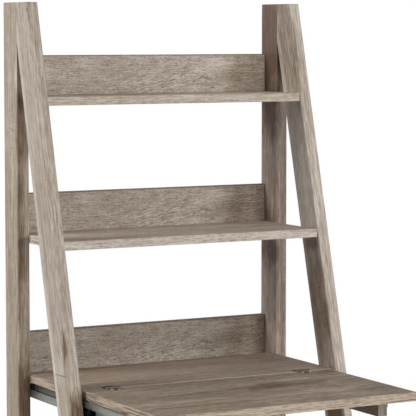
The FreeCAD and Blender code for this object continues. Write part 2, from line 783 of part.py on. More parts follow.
def both_sides(name, left):
    """The left-hand solids and their right-hand twins, as one node."""
    left.Label = f"{name}_left"
    pieces.append(group(name, [left, mirrored(f"{name}_right", left)]))


def across(name, blank, left_tools):
    """A piece that spans both sides, with the left-hand holes and their twins."""
    left = fuse(f"{name}_left_cuts", left_tools)
    half_done = cut(f"{name}_left_done", blank, left)
    pieces.append(cut(name, half_done, mirrored(f"{name}_right_cuts", left)))


pair("rear_post", cut("left_rear_post", post_blank, fuse("post_cuts", post_tools)))
pair("front_leg", cut("left_front_leg", leg_blank, fuse("leg_cuts", leg_tools)))
pair("side_tie", cut("left_side_tie", tie_blank, fuse("tie_cuts", tie_tools)))
for name, blank in shelf_blanks.items():
    across(name, blank, shelf_tools[name])
for name, blank in rail_blanks.items():
    across(name, blank, rail_tools[name])
across("flap", flap_blank, flap_seat)
both_sides("foot_glides", fuse("foot_glides_left", glide_solids))
both_sides("dowels", group("dowels_left", dowels))
both_sides("cam_bolts", fuse("cam_bolts_left", bolt_pins))
both_sides("cam_locks", group("cam_locks_left", cam_discs))
pair("slide_channel", cut("left_slide_channel", channel_blank, fuse("channel_cuts", channel_tools)))
pair("front_roller", left_front_roller)
both_sides("front_roller_pins", left_front_pin)
both_sides("slide_rear_stops", left_stop)
both_sides("slide_screws", fuse("slide_screws_left", slide_screw_solids))
pair("arm", cut("left_arm", arm_blank, fuse("arm_cuts", arm_tools)))
pair("runner", cut("left_runner", runner_blank, fuse("runner_cuts", runner_tools)))
pair("rear_roller", left_rear_roller)
pair("rear_roller_pin", left_rear_pin)
pair("runner_screws", fuse("left_runner_screws", runner_screw_solids))
pair("hinge_shelf_leaf", left_shelf_leaf)
pair("hinge_flap_leaf", left_flap_leaf)
both_sides("hinge_pins", left_hinge_pin)
both_sides("hinge_shelf_screws", fuse("hinge_shelf_screws_left", shelf_leaf_screws))
both_sides("hinge_flap_screws", fuse("hinge_flap_screws_left", flap_leaf_screws))

doc.recompute()
failed = [obj.Label for obj in doc.Objects if "Invalid" in obj.State or "Error" in obj.State]
if failed:
    raise RuntimeError(f"these objects failed to build: {failed}")
for piece in pieces:
    if piece.Shape.isNull() or not piece.Shape.isValid() or not piece.Shape.Solids:
        raise RuntimeError(f"{piece.Label} has no valid solid")

os.makedirs("parts", exist_ok=True)
for piece in pieces:
    piece.Shape.exportStep(f"parts/{piece.Label}.step")
    print(piece.Label, len(piece.Shape.Solids), round(piece.Shape.Volume / 1000, 2))
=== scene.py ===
# %% [markdown]
# # A ladder desk, dressed around its CAD frame
# The desk is two leaning ladder sides, three railed shelves and a writing flap on pull-out arms.
# The CAD frame already holds every board at its true size and place, so this lesson adds what a
# solid model leaves out: grey-washed oak laminate with grain that follows each board, plated
# slides, nylon rollers, cross-slotted screws, and the light of a plain studio.

# %% Load the frame
import math

import bmesh
import bpy
from mathutils import Matrix, Vector


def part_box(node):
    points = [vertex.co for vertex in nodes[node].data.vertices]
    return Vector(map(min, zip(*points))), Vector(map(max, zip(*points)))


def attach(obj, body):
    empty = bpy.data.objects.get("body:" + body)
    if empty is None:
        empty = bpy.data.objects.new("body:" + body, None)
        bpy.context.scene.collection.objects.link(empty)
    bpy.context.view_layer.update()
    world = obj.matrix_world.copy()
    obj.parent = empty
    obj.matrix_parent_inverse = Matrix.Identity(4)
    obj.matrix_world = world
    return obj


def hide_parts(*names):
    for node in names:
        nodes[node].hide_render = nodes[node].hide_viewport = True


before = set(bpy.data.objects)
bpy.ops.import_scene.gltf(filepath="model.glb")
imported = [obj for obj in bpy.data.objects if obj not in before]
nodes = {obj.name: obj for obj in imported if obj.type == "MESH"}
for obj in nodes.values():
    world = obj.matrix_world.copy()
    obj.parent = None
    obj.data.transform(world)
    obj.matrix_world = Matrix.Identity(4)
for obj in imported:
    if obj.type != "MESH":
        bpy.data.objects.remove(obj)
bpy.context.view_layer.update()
MM = 0.001
X, Y, Z = Vector((1, 0, 0)), Vector((0, 1, 0)), Vector((0, 0, 1))

# %% [markdown]
# ## Camera
# The photograph was taken from the front left with a long lens, a little above the top shelf.
# The place and angles come from a pinhole camera fitted to the board edges. A long lens far away
# keeps the posts nearly parallel; a wide lens close by would splay them.

# %% Camera
CAMERA_PLACE_MM = Vector((-2065.9, -3756.5, 1462.5))
CAMERA_YAW, CAMERA_PITCH = math.radians(28.671), math.radians(-4.772)
FOCAL_LENGTH_PX, IMAGE_PX, SENSOR_MM = 2101.55, 416, 36.0

camera_data = bpy.data.cameras.new("studio_camera")
camera_data.sensor_width = SENSOR_MM
camera_data.lens = FOCAL_LENGTH_PX / IMAGE_PX * SENSOR_MM
camera = bpy.data.objects.new("studio_camera", camera_data)
bpy.context.scene.collection.objects.link(camera)
looking = Vector((
    math.sin(CAMERA_YAW) * math.cos(CAMERA_PITCH),
    math.cos(CAMERA_YAW) * math.cos(CAMERA_PITCH),
    math.sin(CAMERA_PITCH),
))
camera.location = CAMERA_PLACE_MM * MM
camera.rotation_euler = looking.to_track_quat("-Z", "Y").to_euler()
bpy.context.scene.camera = camera
bpy.context.scene.view_settings.view_transform = "Standard"
print("camera lens:", round(camera_data.lens, 1), "mm")

# %% [markdown]
# ## Small tools for materials
# Colours are written as sRGB hex values, but shaders work in linear light, so one function
# converts them. A second adds a node with its settings, values and links, so that each material
# reads like a recipe, and a third starts a material.

# %% Colours in linear light
def linear(hex_colour):
    """An sRGB hex colour as linear red, green, blue and alpha."""
    channels = [int(hex_colour[i:i + 2], 16) / 255 for i in (1, 3, 5)]
    return [c / 12.92 if c <= 0.04045 else ((c + 0.055) / 1.055) ** 2.4 for c in channels] + [1.0]


print("middle grey in linear light:", round(linear("#808080")[0], 3))

# %% Nodes and materials
def add_node(tree, kind, values=None, links=None, stops=None, **settings):
    """One shader node of a kind, with socket values, incoming links, ramp stops and settings."""
    made = tree.nodes.new("ShaderNode" + kind)
    for name, value in settings.items():
        setattr(made, name, value)
    for name, value in (values or {}).items():
        made.inputs[name].default_value = value
    for name, source in (links or {}).items():
        tree.links.new(source, made.inputs[name])
    for index, (position, colour) in enumerate(stops or []):
        ramp = made.color_ramp.elements
        stop = ramp[index] if index < 2 else ramp.new(position)
        stop.position = position
        stop.color = linear(colour)
    return made


def new_material(name):
    """An empty material with a Principled shader wired to its output."""
    material = bpy.data.materials.new(name)
    material.use_nodes = True
    tree = material.node_tree
    tree.nodes.clear()
    shader = add_node(tree, "BsdfPrincipled")
    add_node(tree, "OutputMaterial", links={"Surface": shader.outputs["BSDF"]})
    return material, tree, shader


# %% [markdown]
# ## Studio
# The object stands on a pale floor under five soft lamps. The floor is a disc of matte paint that
# fades to white towards its rim, so that the background stays white without putting more light on
# the desk. A larger floor would do the same, but its far edge would show in the picture.

# %% Floor
FLOOR_RADIUS_M, FLOOR_SIDES = 2.6, 96
floor_form = bmesh.new()
bmesh.ops.create_circle(floor_form, cap_ends=True, segments=FLOOR_SIDES, radius=FLOOR_RADIUS_M)
floor_mesh = bpy.data.meshes.new("studio_floor")
floor_form.to_mesh(floor_mesh)
floor_form.free()
floor = bpy.data.objects.new("studio_floor", floor_mesh)
bpy.context.scene.collection.objects.link(floor)
print("floor radius:", FLOOR_RADIUS_M, "m")

# %% Floor paint
# matte paint has no gloss, so the eye sees only the desk's soft shadow on it
FLOOR_PAINT, WHITE, FADE_START_M = "#f4f3f1", (1, 1, 1, 1), 1.1
floor_paint = bpy.data.materials.new("pale floor paint")
floor_paint.use_nodes = True
tree = floor_paint.node_tree
tree.nodes.clear()
place = add_node(tree, "TexCoord")
distance = add_node(tree, "VectorMath", links={0: place.outputs["Object"]}, operation="LENGTH")
fade = add_node(
    tree, "MapRange", values={"From Min": FADE_START_M, "From Max": FLOOR_RADIUS_M},
    links={"Value": distance.outputs["Value"]}, interpolation_type="SMOOTHSTEP",
)
paint = add_node(tree, "BsdfDiffuse", values={"Color": linear(FLOOR_PAINT)})
white = add_node(tree, "Emission", values={"Color": WHITE, "Strength": 1.0})
faded = add_node(
    tree, "MixShader",
    links={0: fade.outputs["Result"], 1: paint.outputs["BSDF"], 2: white.outputs["Emission"]},
)
add_node(tree, "OutputMaterial", links={"Surface": faded.outputs["Shader"]})
floor_mesh.materials.append(floor_paint)
print("floor fades from", FADE_START_M, "m")

# %% [markdown]
# Two lamps stand in front, high and low, so that each leg shades the post behind it; one on the
# front right reaches in under the shelves; one on the left lights the left ladder side,
# which shades the inner faces of the right one. A low lamp behind lights the backs of the boards,
# which the photograph doesn't show. The sky looks white but adds only a little light of its own.

# %% Softboxes
SOFTBOX_SIZE_M = 1.6
DESK_MIDDLE, DESK_LOW = Vector((0, 0.1, 1.1)), Vector((0, 0.1, 0.9))
SOFTBOXES = {
    "high_front_softbox": ((0, -2.2, 4.4), DESK_MIDDLE, 46),
    "low_front_softbox": ((0, -3.9, 1.4), DESK_MIDDLE, 46),
    "front_right_softbox": ((2.0, -3.3, 1.8), DESK_MIDDLE, 66),
    "left_softbox": ((-3.5, 0.7, 2.9), DESK_MIDDLE, 125),
    "rear_softbox": ((0.4, 4.2, 0.9), DESK_LOW, 90),
}
for name, (place, aim, watts) in SOFTBOXES.items():
    lamp = bpy.data.lights.new(name, "AREA")
    lamp.size = SOFTBOX_SIZE_M
    lamp.energy = watts
    holder = bpy.data.objects.new(name, lamp)
    holder.location = place
    holder.rotation_euler = (aim - Vector(place)).to_track_quat("-Z", "Y").to_euler()
    bpy.context.scene.collection.objects.link(holder)
print("softboxes:", len(SOFTBOXES))

# %% Sky
AMBIENT = 0.06
world = bpy.data.worlds.new("studio")
world.use_nodes = True
tree = world.node_tree
tree.nodes.clear()
ray = add_node(tree, "LightPath").outputs
seen = ray["Is Camera Ray"]
for kind in ("Is Glossy Ray", "Is Transmission Ray"):
    seen = add_node(tree, "Math", links={0: seen, 1: ray[kind]}, operation="MAXIMUM").outputs[0]
strength = add_node(tree, "MapRange", values={"To Min": AMBIENT, "To Max": 1.0}, links={"Value": seen})
sky = add_node(tree, "Background", values={"Color": WHITE}, links={"Strength": strength.outputs["Result"]})
add_node(tree, "OutputWorld", links={"Surface": sky.outputs["Background"]})
bpy.context.scene.world = world
print("ambient light:", AMBIENT)

# %% [markdown]
# ## Grey-washed oak laminate
# The boards are particle board under a printed oak paper with a matte top coat. The print has long
# streaks of grain, short dark pores, broad light and dark tones, faint marks across the grain and
# slanted dark flecks where the log was sawn across its rays. A photograph of oak could be wrapped
# around each board, but noise stretched along the grain gives the same streaks at any size and
# needs no seams. Every board gets its own copy of the recipe, centred on it and turned so that
# the grain runs along it: first the board's own space, then the streaks drawn in it.

# %% Board space and streaks
STREAK_ROUGHNESS = 0.55


def board_space(tree, centre, along, facing):
    """Places on a board as distances along it, across it and out of its main face."""
    turn = Matrix((along, facing.cross(along), facing)).transposed().to_euler()
    place = add_node(tree, "TexCoord")
    return add_node(
        tree, "Mapping", values={"Location": centre, "Rotation": turn},
        links={"Vector": place.outputs["Object"]}, vector_type="TEXTURE",
    ).outputs["Vector"]


def streaks(tree, board, shift_mm, length_mm, width_mm, detail=2.0, bend=0.4, slant=0.0, height_mm=None):
    """Noise drawn out to marks of about this length, width and height, slanted to the grain."""
    slanted = add_node(
        tree, "Mapping",
        values={"Location": (shift_mm * MM, 0, shift_mm * MM), "Rotation": (0, 0, -math.radians(slant))},
        links={"Vector": board},
    )
    scale = [1 / (size_mm * MM) for size_mm in (length_mm, width_mm, height_mm or width_mm)]
    drawn = add_node(tree, "Mapping", values={"Scale": scale}, links={"Vector": slanted.outputs["Vector"]})
    return add_node(
        tree, "TexNoise",
        values={"Scale": 1.0, "Detail": detail, "Roughness": STREAK_ROUGHNESS, "Distortion": bend},
        links={"Vector": drawn.outputs["Vector"]},
    ).outputs["Fac"]


# %% [markdown]
# The layers of the print are added around a middle grey of one half, each with its own share: the
# shares come to 1.2, and a base of -0.1 takes the extra tenth off again. Real oak pores are about
# a fifth of a millimetre wide and fibres are finer still; both are drawn here about ten times
# coarser, because at this picture size nothing thinner than two millimetres would show.

# %% Printed grain
# each layer: share, length and width in mm, detail, bend, and whether a board's stretch lengthens it
PRINT_LAYERS = {
    "tones": (0.20, 300, 42, 2.0, 0.6, False),
    "grain": (0.18, 110, 5.0, 3.0, 0.7, True),
    "fibres": (0.36, 26, 2.4, 2.0, 0.4, True),
    "pores": (0.40, 7, 1.9, 1.0, 0.3, True),
    "cross marks": (0.06, 4.0, 22, 1.0, 0.2, False),
}
DASH_LENGTH_MM, DASH_WIDTH_MM = 45, 3.0
DASH_RANGE = {"From Min": 0.36, "From Max": 0.26, "To Min": -0.10, "To Max": -0.20}


def printed_grain(tree, board, shift_mm, stretch):
    """The sum of the print's layers, with dark dashes where a further noise runs low."""
    dashes = streaks(tree, board, shift_mm, DASH_LENGTH_MM * stretch, DASH_WIDTH_MM, detail=1.0)
    mixed = add_node(
        tree, "MapRange", values=DASH_RANGE, links={"Value": dashes}, interpolation_type="SMOOTHSTEP",
    ).outputs["Result"]
    for share, length_mm, width_mm, detail, bend, lengthens in PRINT_LAYERS.values():
        drawn_mm = length_mm * stretch if lengthens else length_mm
        layer = streaks(tree, board, shift_mm, drawn_mm, width_mm, detail, bend)
        mixed = add_node(
            tree, "Math", values={1: share}, links={0: layer, 2: mixed}, operation="MULTIPLY_ADD",
        ).outputs[0]
    return mixed


print("print layers:", *PRINT_LAYERS)

# %% [markdown]
# Some marks belong to one place on one board: a patch of flecks, a darker heart, a stain. Others
# are painted shade and painted light. Each is an ellipse on the board's main face whose rim is made
# ragged by noise; its depth says how far it reaches around a corner.

# %% One mark
RIM_RAGGEDNESS, RIM_OUTSIDE, RIM_INSIDE, USUAL_DEPTH_MM = 1.6, 2.1, 1.1, 12


def mark(
    tree, board, ragged, face_height, along_mm, across_mm, half_length_mm, half_width_mm, lean, amount,
    depth_mm=USUAL_DEPTH_MM,
):
    """How strongly a ragged elliptical mark on the main face covers each place."""
    ellipse = add_node(
        tree, "Mapping",
        values={
            "Location": (along_mm * MM, across_mm * MM, face_height), "Rotation": (0, 0, math.radians(lean)),
            "Scale": (half_length_mm * MM, half_width_mm * MM, depth_mm * MM),
        },
        links={"Vector": board}, vector_type="TEXTURE",
    )
    reach = add_node(tree, "VectorMath", links={0: ellipse.outputs["Vector"]}, operation="LENGTH")
    rim = add_node(
        tree, "Math", values={1: RIM_RAGGEDNESS}, links={0: ragged, 2: reach.outputs["Value"]},
        operation="MULTIPLY_ADD",
    )
    return add_node(
        tree, "MapRange", values={"From Min": RIM_OUTSIDE, "From Max": RIM_INSIDE, "To Max": amount},
        links={"Value": rim.outputs[0]}, interpolation_type="SMOOTHSTEP",
    ).outputs["Result"]


# %% [markdown]
# There are four kinds of mark. A tone lifts or lowers the grey, both for the print and for painted
# shade and light. Flecks and bands let streaks of their own through: fine dark lines slanted to the
# grain, and stripes across it. A stain, which also serves as painted shade, is kept for later,
# because it tints the colour and not the grey.

# %% All marks of a board
# rim and figures: length and width in mm, detail, bend and slant in degrees
RAGGED_RIM = (60, 30, 2.0, 0.0)
FIGURES = {"flecks": (26, 2.0, 2.0, 0.8, 14), "bands": (5.0, 40, 1.0, 0.3)}
FIGURE_RANGE = {"From Min": 0.5, "From Max": 0.3, "To Min": 0.25, "To Max": -1.0}


def marked_grain(tree, board, face_height, shift_mm, mixed, marks):
    """The grain with its marks, and the stains and painted shade that are left for the colour."""
    ragged = streaks(tree, board, shift_mm, *RAGGED_RIM)
    figures = {
        kind: add_node(
            tree, "MapRange", values=FIGURE_RANGE,
            links={"Value": streaks(tree, board, shift_mm, *shape)}, interpolation_type="SMOOTHSTEP",
        ).outputs["Result"]
        for kind, shape in FIGURES.items()
    }
    stains_and_shade = []
    for kind, *shape in marks:
        cover = mark(tree, board, ragged, face_height, *shape)
        if kind == "stain_and_shade":
            stains_and_shade.append(cover)
        elif kind == "tone":
            mixed = add_node(tree, "Math", links={0: cover, 1: mixed}, operation="ADD").outputs[0]
        else:
            mixed = add_node(
                tree, "Math", links={0: cover, 1: figures[kind], 2: mixed}, operation="MULTIPLY_ADD",
            ).outputs[0]
    return mixed, stains_and_shade


# %% [markdown]
# The cut sides of the boards carry a thin edge tape, which is paler than the print on the shelves
# and darker on the rails, and the long corners get a fine painted highlight, where they would catch
# the light. Both come from the distance to the board's sides: the larger of two distances finds a
# side, the smaller a corner.
# On a board's ends the tape's own grain runs across, so there its streaks take the print's place.

# %% Edges and corners
EDGE_TAPE_MM, CORNER_MM, END_SKIN_MM = 2.0, 1.3, 0.1
TAPE_GRAIN_MM, TAPE_LENGTH_MM, TAPE_LINE_MM = 9, 70, 2.6
TAPE_RANGE = {"From Min": 0.3, "From Max": 0.7, "To Min": 0.2, "To Max": 0.8}


def edged_grain(tree, board, shift_mm, half_size, edge_lift, painted_corner_highlight, mixed):
    """The grain with its taped ends, with its sides lifted or lowered, and a painted highlight on its long
    corners.
    """
    outward = add_node(tree, "VectorMath", links={0: board}, operation="ABSOLUTE")
    past = add_node(
        tree, "VectorMath", values={1: half_size}, links={0: outward.outputs["Vector"]}, operation="SUBTRACT",
    )
    past = add_node(tree, "SeparateXYZ", links={"Vector": past.outputs["Vector"]}).outputs
    at_end = add_node(
        tree, "Math", values={1: -END_SKIN_MM * MM}, links={0: past["X"]}, operation="GREATER_THAN",
    ).outputs[0]
    tape = streaks(tree, board, shift_mm, TAPE_GRAIN_MM, TAPE_LENGTH_MM, detail=3.0, height_mm=TAPE_LINE_MM)
    tape = add_node(tree, "MapRange", values=TAPE_RANGE, links={"Value": tape}).outputs["Result"]
    mixed = add_node(tree, "Mix", links={"Factor": at_end, "A": mixed, "B": tape}).outputs["Result"]
    side = add_node(tree, "Math", links={0: past["X"], 1: past["Y"]}, operation="MAXIMUM")
    corner = add_node(tree, "Math", links={0: past["Y"], 1: past["Z"]}, operation="MINIMUM")
    for edge, width_mm, lift in ((side, EDGE_TAPE_MM, edge_lift), (corner, CORNER_MM, painted_corner_highlight)):
        near = add_node(
            tree, "Math", values={1: -width_mm * MM}, links={0: edge.outputs[0]}, operation="GREATER_THAN",
        )
        mixed = add_node(
            tree, "Math", values={1: lift}, links={0: near.outputs[0], 2: mixed}, operation="MULTIPLY_ADD",
        ).outputs[0]
    return mixed


# %% [markdown]
# Last, the grey becomes colour through three tones, dark pores to pale fibres, and a shallow bump
# lets the pressed pores break the sheen. A matte melamine coat scatters light widely, so the
# roughness is high and the mirror part is turned down, which keeps the print dry and dusty.

# %% Oak recipe
# a warm tint for stains in the print and for painted shade
STAIN_AND_SHADE_TINT = "#c4a68c"
DARK_LEVEL, MIDDLE_LEVEL, PALE_LEVEL = 0.32, 0.5, 0.68
PORE_BUMP, PORE_DEPTH_MM, COAT_ROUGHNESS, COAT_SPECULAR = 0.3, 0.15, 0.65, 0.2


def oak_laminate(
    name, centre, along, facing, tones, half_size, shift_mm=0.0, marks=(), edge_lift=0.0, painted_corner_highlight=0.0,
    stretch=1.0,
):
    """Printed oak for a board with its grain along one direction and its main face along another."""
    material, tree, shader = new_material(name)
    board = board_space(tree, centre, along, facing)
    mixed = printed_grain(tree, board, shift_mm, stretch)
    mixed, stains_and_shade = marked_grain(tree, board, half_size.z, shift_mm, mixed, marks)
    mixed = edged_grain(tree, board, shift_mm, half_size, edge_lift, painted_corner_highlight, mixed)
    dark, middle, pale = tones
    colour = add_node(
        tree, "ValToRGB", links={"Fac": mixed},
        stops=[(DARK_LEVEL, dark), (PALE_LEVEL, pale), (MIDDLE_LEVEL, middle)],
    ).outputs["Color"]
    for cover in stains_and_shade:
        colour = add_node(
            tree, "MixRGB", values={"Color2": linear(STAIN_AND_SHADE_TINT)},
            links={"Fac": cover, "Color1": colour}, blend_type="MULTIPLY",
        ).outputs["Color"]
    bump = add_node(
        tree, "Bump", values={"Strength": PORE_BUMP, "Distance": PORE_DEPTH_MM * MM}, links={"Height": mixed},
    )
    tree.links.new(colour, shader.inputs["Base Color"])
    tree.links.new(bump.outputs["Normal"], shader.inputs["Normal"])
    shader.inputs["Roughness"].default_value = COAT_ROUGHNESS
    shader.inputs["Specular IOR Level"].default_value = COAT_SPECULAR
    return material


# %% [markdown]
# ## Tones and marks of the boards
# Sheets of such laminate come from many print runs, so every group of boards has its own three
# tones: dark, middle and pale. The tones were matched to the photograph board by board, so they
# also take up a little of the way its light fell.

# %% Oak tones
OAK = ("#77695b", "#a79b8d", "#cfc7bd")
PALE_OAK = ("#7c6f61", "#aea396", "#d8d1c9")
WARM_OAK = ("#726454", "#9f9181", "#c4b9ac")
TOP_SHELF_OAK = ("#776757", "#a79888", "#c6bfb6")
MIDDLE_SHELF_OAK = ("#756456", "#a49485", "#cdc6bd")
# the middle and desk rails are darker: painted shade from the shelves above them
MIDDLE_RAIL_OAK = ("#716355", "#9e9284", "#c5bcb2")
DESK_RAIL_OAK = ("#695c50", "#94897c", "#b8b1a8")
BROWN_OAK = ("#6a594d", "#96887d", "#bfb2a6")
DARK_OAK = ("#615142", "#8a796a", "#b4a496")
FLAP_OAK = ("#44362a", "#766757", "#b2a292")
ARM_OAK = ("#5c5145", "#81776b", "#a29b92")
print("oak tones from", OAK[0], "to", OAK[2])

# %% [markdown]
# A mark gives its kind, its place along and across the board from the middle, half its length and
# half its width in millimetres, its lean in degrees, its amount and, where it needs one, a depth.
# The rails share one sheet of print, so they share its marks: a patch of flecks right of the
# middle, a pale cloud and a warm, darker right end. The flap has a dark heart near its middle,
# and along its hinged edge the pale line of the joint.

# %% Marks on shelves, rails, flap and arm
RAIL_MARKS = (
    ("flecks", 60, -14, 150, 34, 8, 0.25),
    ("flecks", 245, 0, 70, 45, 8, 0.12),
    ("flecks", -240, -35, 60, 20, -6, 0.16),
    ("tone", 165, 22, 50, 20, 8, 0.08),
    ("tone", -148, 37, 34, 14, -25, 0.07),
    ("tone", 252, -4, 58, 42, 0, -0.05),
    ("stain_and_shade", 240, -4, 70, 50, 0, 0.30),
)
# painted light: the top rail's right end is lighter
TOP_RAIL_MARKS = RAIL_MARKS + (("tone", 280, 0, 45, 80, 0, 0.07),)
# painted shade: a darker band along the top shelf's rear, next to the rail
TOP_SHELF_MARKS = (("tone", 0, 45, 600, 60, 0, -0.06, 6),)
FLAP_MARKS = (
    ("tone", 85, 36, 100, 28, 3, -0.14),
    ("flecks", 85, 36, 130, 36, 3, 0.14),
    ("tone", -130, 26, 130, 8, 2, -0.09),
    ("tone", 256, -94, 70, 50, 0, -0.08),
    ("tone", 150, -60, 110, 26, 0, 0.06),
    ("tone", -170, -40, 160, 16, 0, 0.05),
    ("tone", -150, -95, 150, 9, 0, -0.08),
    ("stain_and_shade", 85, 36, 120, 34, 3, 0.4),
    # painted highlight: the pale line along the hinged edge, where the joint's edges catch the light
    ("tone", 110, 163, 330, 6, 0, 0.16, 4),
)
# painted shade on the right arm's inner face, under the flap
ARM_MARKS = (
    ("tone", 0, 0, 200, 60, 0, -0.14, 4),
    ("stain_and_shade", 0, 0, 200, 60, 0, 0.4, 4),
)
print("marks on the flap:", len(FLAP_MARKS))

# %% [markdown]
# The ladder sides carry knots, a fine dark line where two sheets of print meet, and bands across
# the grain. Not every tone is print: on the top shelf, the front of the left post, the left leg
# just below the desk top and the inner faces of the right post, leg and arm, some follow shade and
# light in the photograph. They are painted shade and painted light, so they stay on the board in
# any light.

# %% Marks on the left ladder side
LEFT_LEG_MARKS = (
    ("tone", 70, -23, 46, 4, -8, -0.20, 5),
    ("stain_and_shade", 70, -23, 60, 7, -8, 0.6, 6),
    ("tone", 32, 8, 24, 26, 0, 0.06, 6),
    ("tone", 14, 2, 1.6, 34, -13, -0.18, 3),
    # painted shadow of the flap on the leg, just below the desk top
    ("tone", -80, -33, 70, 14, 0, -0.16, 45),
    ("stain_and_shade", -80, -33, 70, 14, 0, 0.9, 45),
    # painted shade: a row of dark dots along the leg's corner near its top
    ("tone", 764, -26, 4, 3.5, 0, -0.45, 6),
    ("tone", 755, -29, 4, 3.5, 0, -0.45, 6),
    ("tone", 746, -30, 4, 3.5, 0, -0.45, 6),
    ("tone", 737, -30, 4, 3.5, 0, -0.45, 6),
)
LEFT_POST_MARKS = (
    ("bands", 495, 0, 40, 36, 0, 0.07, 10),
    # painted shade on the post's front face beneath the top shelf, and painted light above it, in the narrow
    # gap behind the leg
    ("tone", 510, -38, 50, 14, 0, -0.06, 60),
    ("stain_and_shade", 500, -38, 70, 16, 0, 0.5, 60),
    ("tone", 620, -38, 40, 14, 0, 0.18, 60),
    # painted shade and light on the post's front face between the desk and the top shelf: darker towards its
    # outer edge and lighter towards its inner edge, darker still just beneath the desk
    ("tone", 250, -34, 230, 6, 0, 0.07, 80),
    ("tone", 250, -34, 230, 6, 0, -0.19, 15),
    ("stain_and_shade", 250, -34, 230, 6, 0, 0.3, 15),
    ("tone", 120, -34, 120, 6, 0, -0.035, 80),
    ("tone", -60, -34, 100, 6, 0, -0.13, 80),
    ("stain_and_shade", -60, -34, 100, 6, 0, 0.6, 80),
)
print("marks on the left side:", len(LEFT_LEG_MARKS + LEFT_POST_MARKS))

# %% Marks on the right ladder side
RIGHT_LEG_MARKS = (
    # painted light: the upper part of the leg's inner face is lighter
    ("tone", 450, 12, 260, 40, 0, 0.08, 10),
    ("tone", 196, -12, 34, 14, 0, -0.10, 8),
    ("tone", 90, -16, 50, 12, 0, -0.12, 8),
    ("tone", 150, 16, 60, 10, 0, 0.10, 8),
    ("bands", 150, 0, 70, 26, 0, 0.06, 8),
    ("stain_and_shade", 140, 4, 130, 34, 0, 0.7, 8),
    # painted shade beneath the middle shelf
    ("tone", 256, 10, 24, 34, 0, -0.10, 8),
    ("stain_and_shade", 256, 10, 24, 34, 0, 0.6, 8),
    # painted shade beneath the flap
    ("tone", -130, 0, 90, 50, 0, -0.24, 8),
    ("stain_and_shade", -130, 0, 90, 50, 0, 0.9, 8),
    ("tone", 690, -5, 150, 90, 0, -0.12, 8),
    ("stain_and_shade", 690, -5, 150, 90, 0, 0.2, 8),
)
RIGHT_POST_MARKS = (
    ("tone", 665, 0, 150, 90, 0, -0.20, 8),
    ("stain_and_shade", 665, 0, 150, 90, 0, 0.45, 8),
    # painted shade beneath the top shelf
    ("tone", 506, 0, 60, 50, 0, -0.11, 8),
    ("stain_and_shade", 506, 0, 60, 50, 0, 0.7, 8),
    ("tone", 327, 0, 50, 50, 0, 0.09, 8),
    ("tone", 212, 0, 40, 50, 0, -0.11, 8),
    # painted shade beneath the middle shelf
    ("stain_and_shade", 212, 0, 40, 50, 0, 0.7, 8),
    ("tone", 5, 0, 60, 50, 0, 0.14, 8),
    ("tone", 330, 4, 420, 60, 0, -0.03, 8),
)
print("marks on the right side:", len(RIGHT_LEG_MARKS + RIGHT_POST_MARKS))

# %% [markdown]
# Each board needs the direction of its grain, the direction of its main face, its tones and its
# own options. A shift moves a board to another part of the endless print, so that no two boards
# look alike; a stretch lengthens the streaks. A leg leans, so its box is wider than the board: its
# half width and thickness are given instead, with a length so great that its feet are no taped ends.

# %% Oak on the boards
LEG_LEAN, LEG_HALF_SIZE = 0.26, Vector((1.0, 0.0324, 0.013))
LEANING = (Z + LEG_LEAN * Y).normalized()
# the uprights' long corners get a painted highlight
UPRIGHT = {"painted_corner_highlight": 0.07, "stretch": 4.0}
SHELF = {"shift_mm": 0, "edge_lift": 0.06, "stretch": 2.0}
DESK_TOP = {"edge_lift": 0.13, "stretch": 3.0}
RAIL = {"marks": RAIL_MARKS, "edge_lift": -0.20, "stretch": 0.8}
BOARDS = {
    "left_rear_post": (Z, -X, WARM_OAK, {**UPRIGHT, "marks": LEFT_POST_MARKS}),
    "right_rear_post": (Z, -X, BROWN_OAK, {**UPRIGHT, "shift_mm": 310, "marks": RIGHT_POST_MARKS}),
    "left_front_leg": (LEANING, -X, OAK, {**UPRIGHT, "shift_mm": 120, "marks": LEFT_LEG_MARKS}),
    "right_front_leg": (LEANING, -X, PALE_OAK, {**UPRIGHT, "shift_mm": 470, "marks": RIGHT_LEG_MARKS}),
    "left_side_tie": (Y, -X, OAK, {"shift_mm": 200}),
    "right_side_tie": (Y, -X, OAK, {"shift_mm": 650}),
    "top_shelf": (X, Z, TOP_SHELF_OAK, {**SHELF, "marks": TOP_SHELF_MARKS}),
    "middle_shelf": (X, Z, MIDDLE_SHELF_OAK, {**SHELF, "edge_lift": 0.09}),
    "desk_shelf": (X, Z, DARK_OAK, {**DESK_TOP, "shift_mm": 90}),
    "flap": (X, Z, FLAP_OAK, {**DESK_TOP, "shift_mm": 260, "marks": FLAP_MARKS}),
    "top_back_rail": (X, -Y, OAK, {**RAIL, "marks": TOP_RAIL_MARKS}),
    "middle_back_rail": (X, -Y, MIDDLE_RAIL_OAK, RAIL),
    "desk_back_rail": (X, -Y, DESK_RAIL_OAK, RAIL),
    "lower_back_rail": (X, -Y, OAK, RAIL),
    "left_arm": (Y, -X, OAK, {"shift_mm": 50}),
    "right_arm": (Y, -X, ARM_OAK, {"shift_mm": 540, "marks": ARM_MARKS}),
}


def dress(node, material):
    """Gives a CAD node its finish."""
    slots = nodes[node].data.materials
    slots.clear()
    slots.append(material)


for board, (along, facing, tones, options) in BOARDS.items():
    low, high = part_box(board)
    half = (high - low) / 2
    half_size = Vector([abs(half.dot(axis)) for axis in (along, facing.cross(along), facing)])
    if along is LEANING:
        half_size = LEG_HALF_SIZE
    name = f"oak laminate {board}"
    dress(board, oak_laminate(name, (low + high) / 2, along, facing, tones, half_size, **options))
print("oak laminate on", len(BOARDS), "boards")

# %% [markdown]
# ## Metal, nylon and rubber
# The slides are zinc-plated sheet, the hinges are darker nickel, and rollers and stops are black.
# One flat colour would look like a drawing, because even plating is never one tone. So each finish
# drifts a little in tone and gloss, over specks drawn at a few millimetres to show at this size.

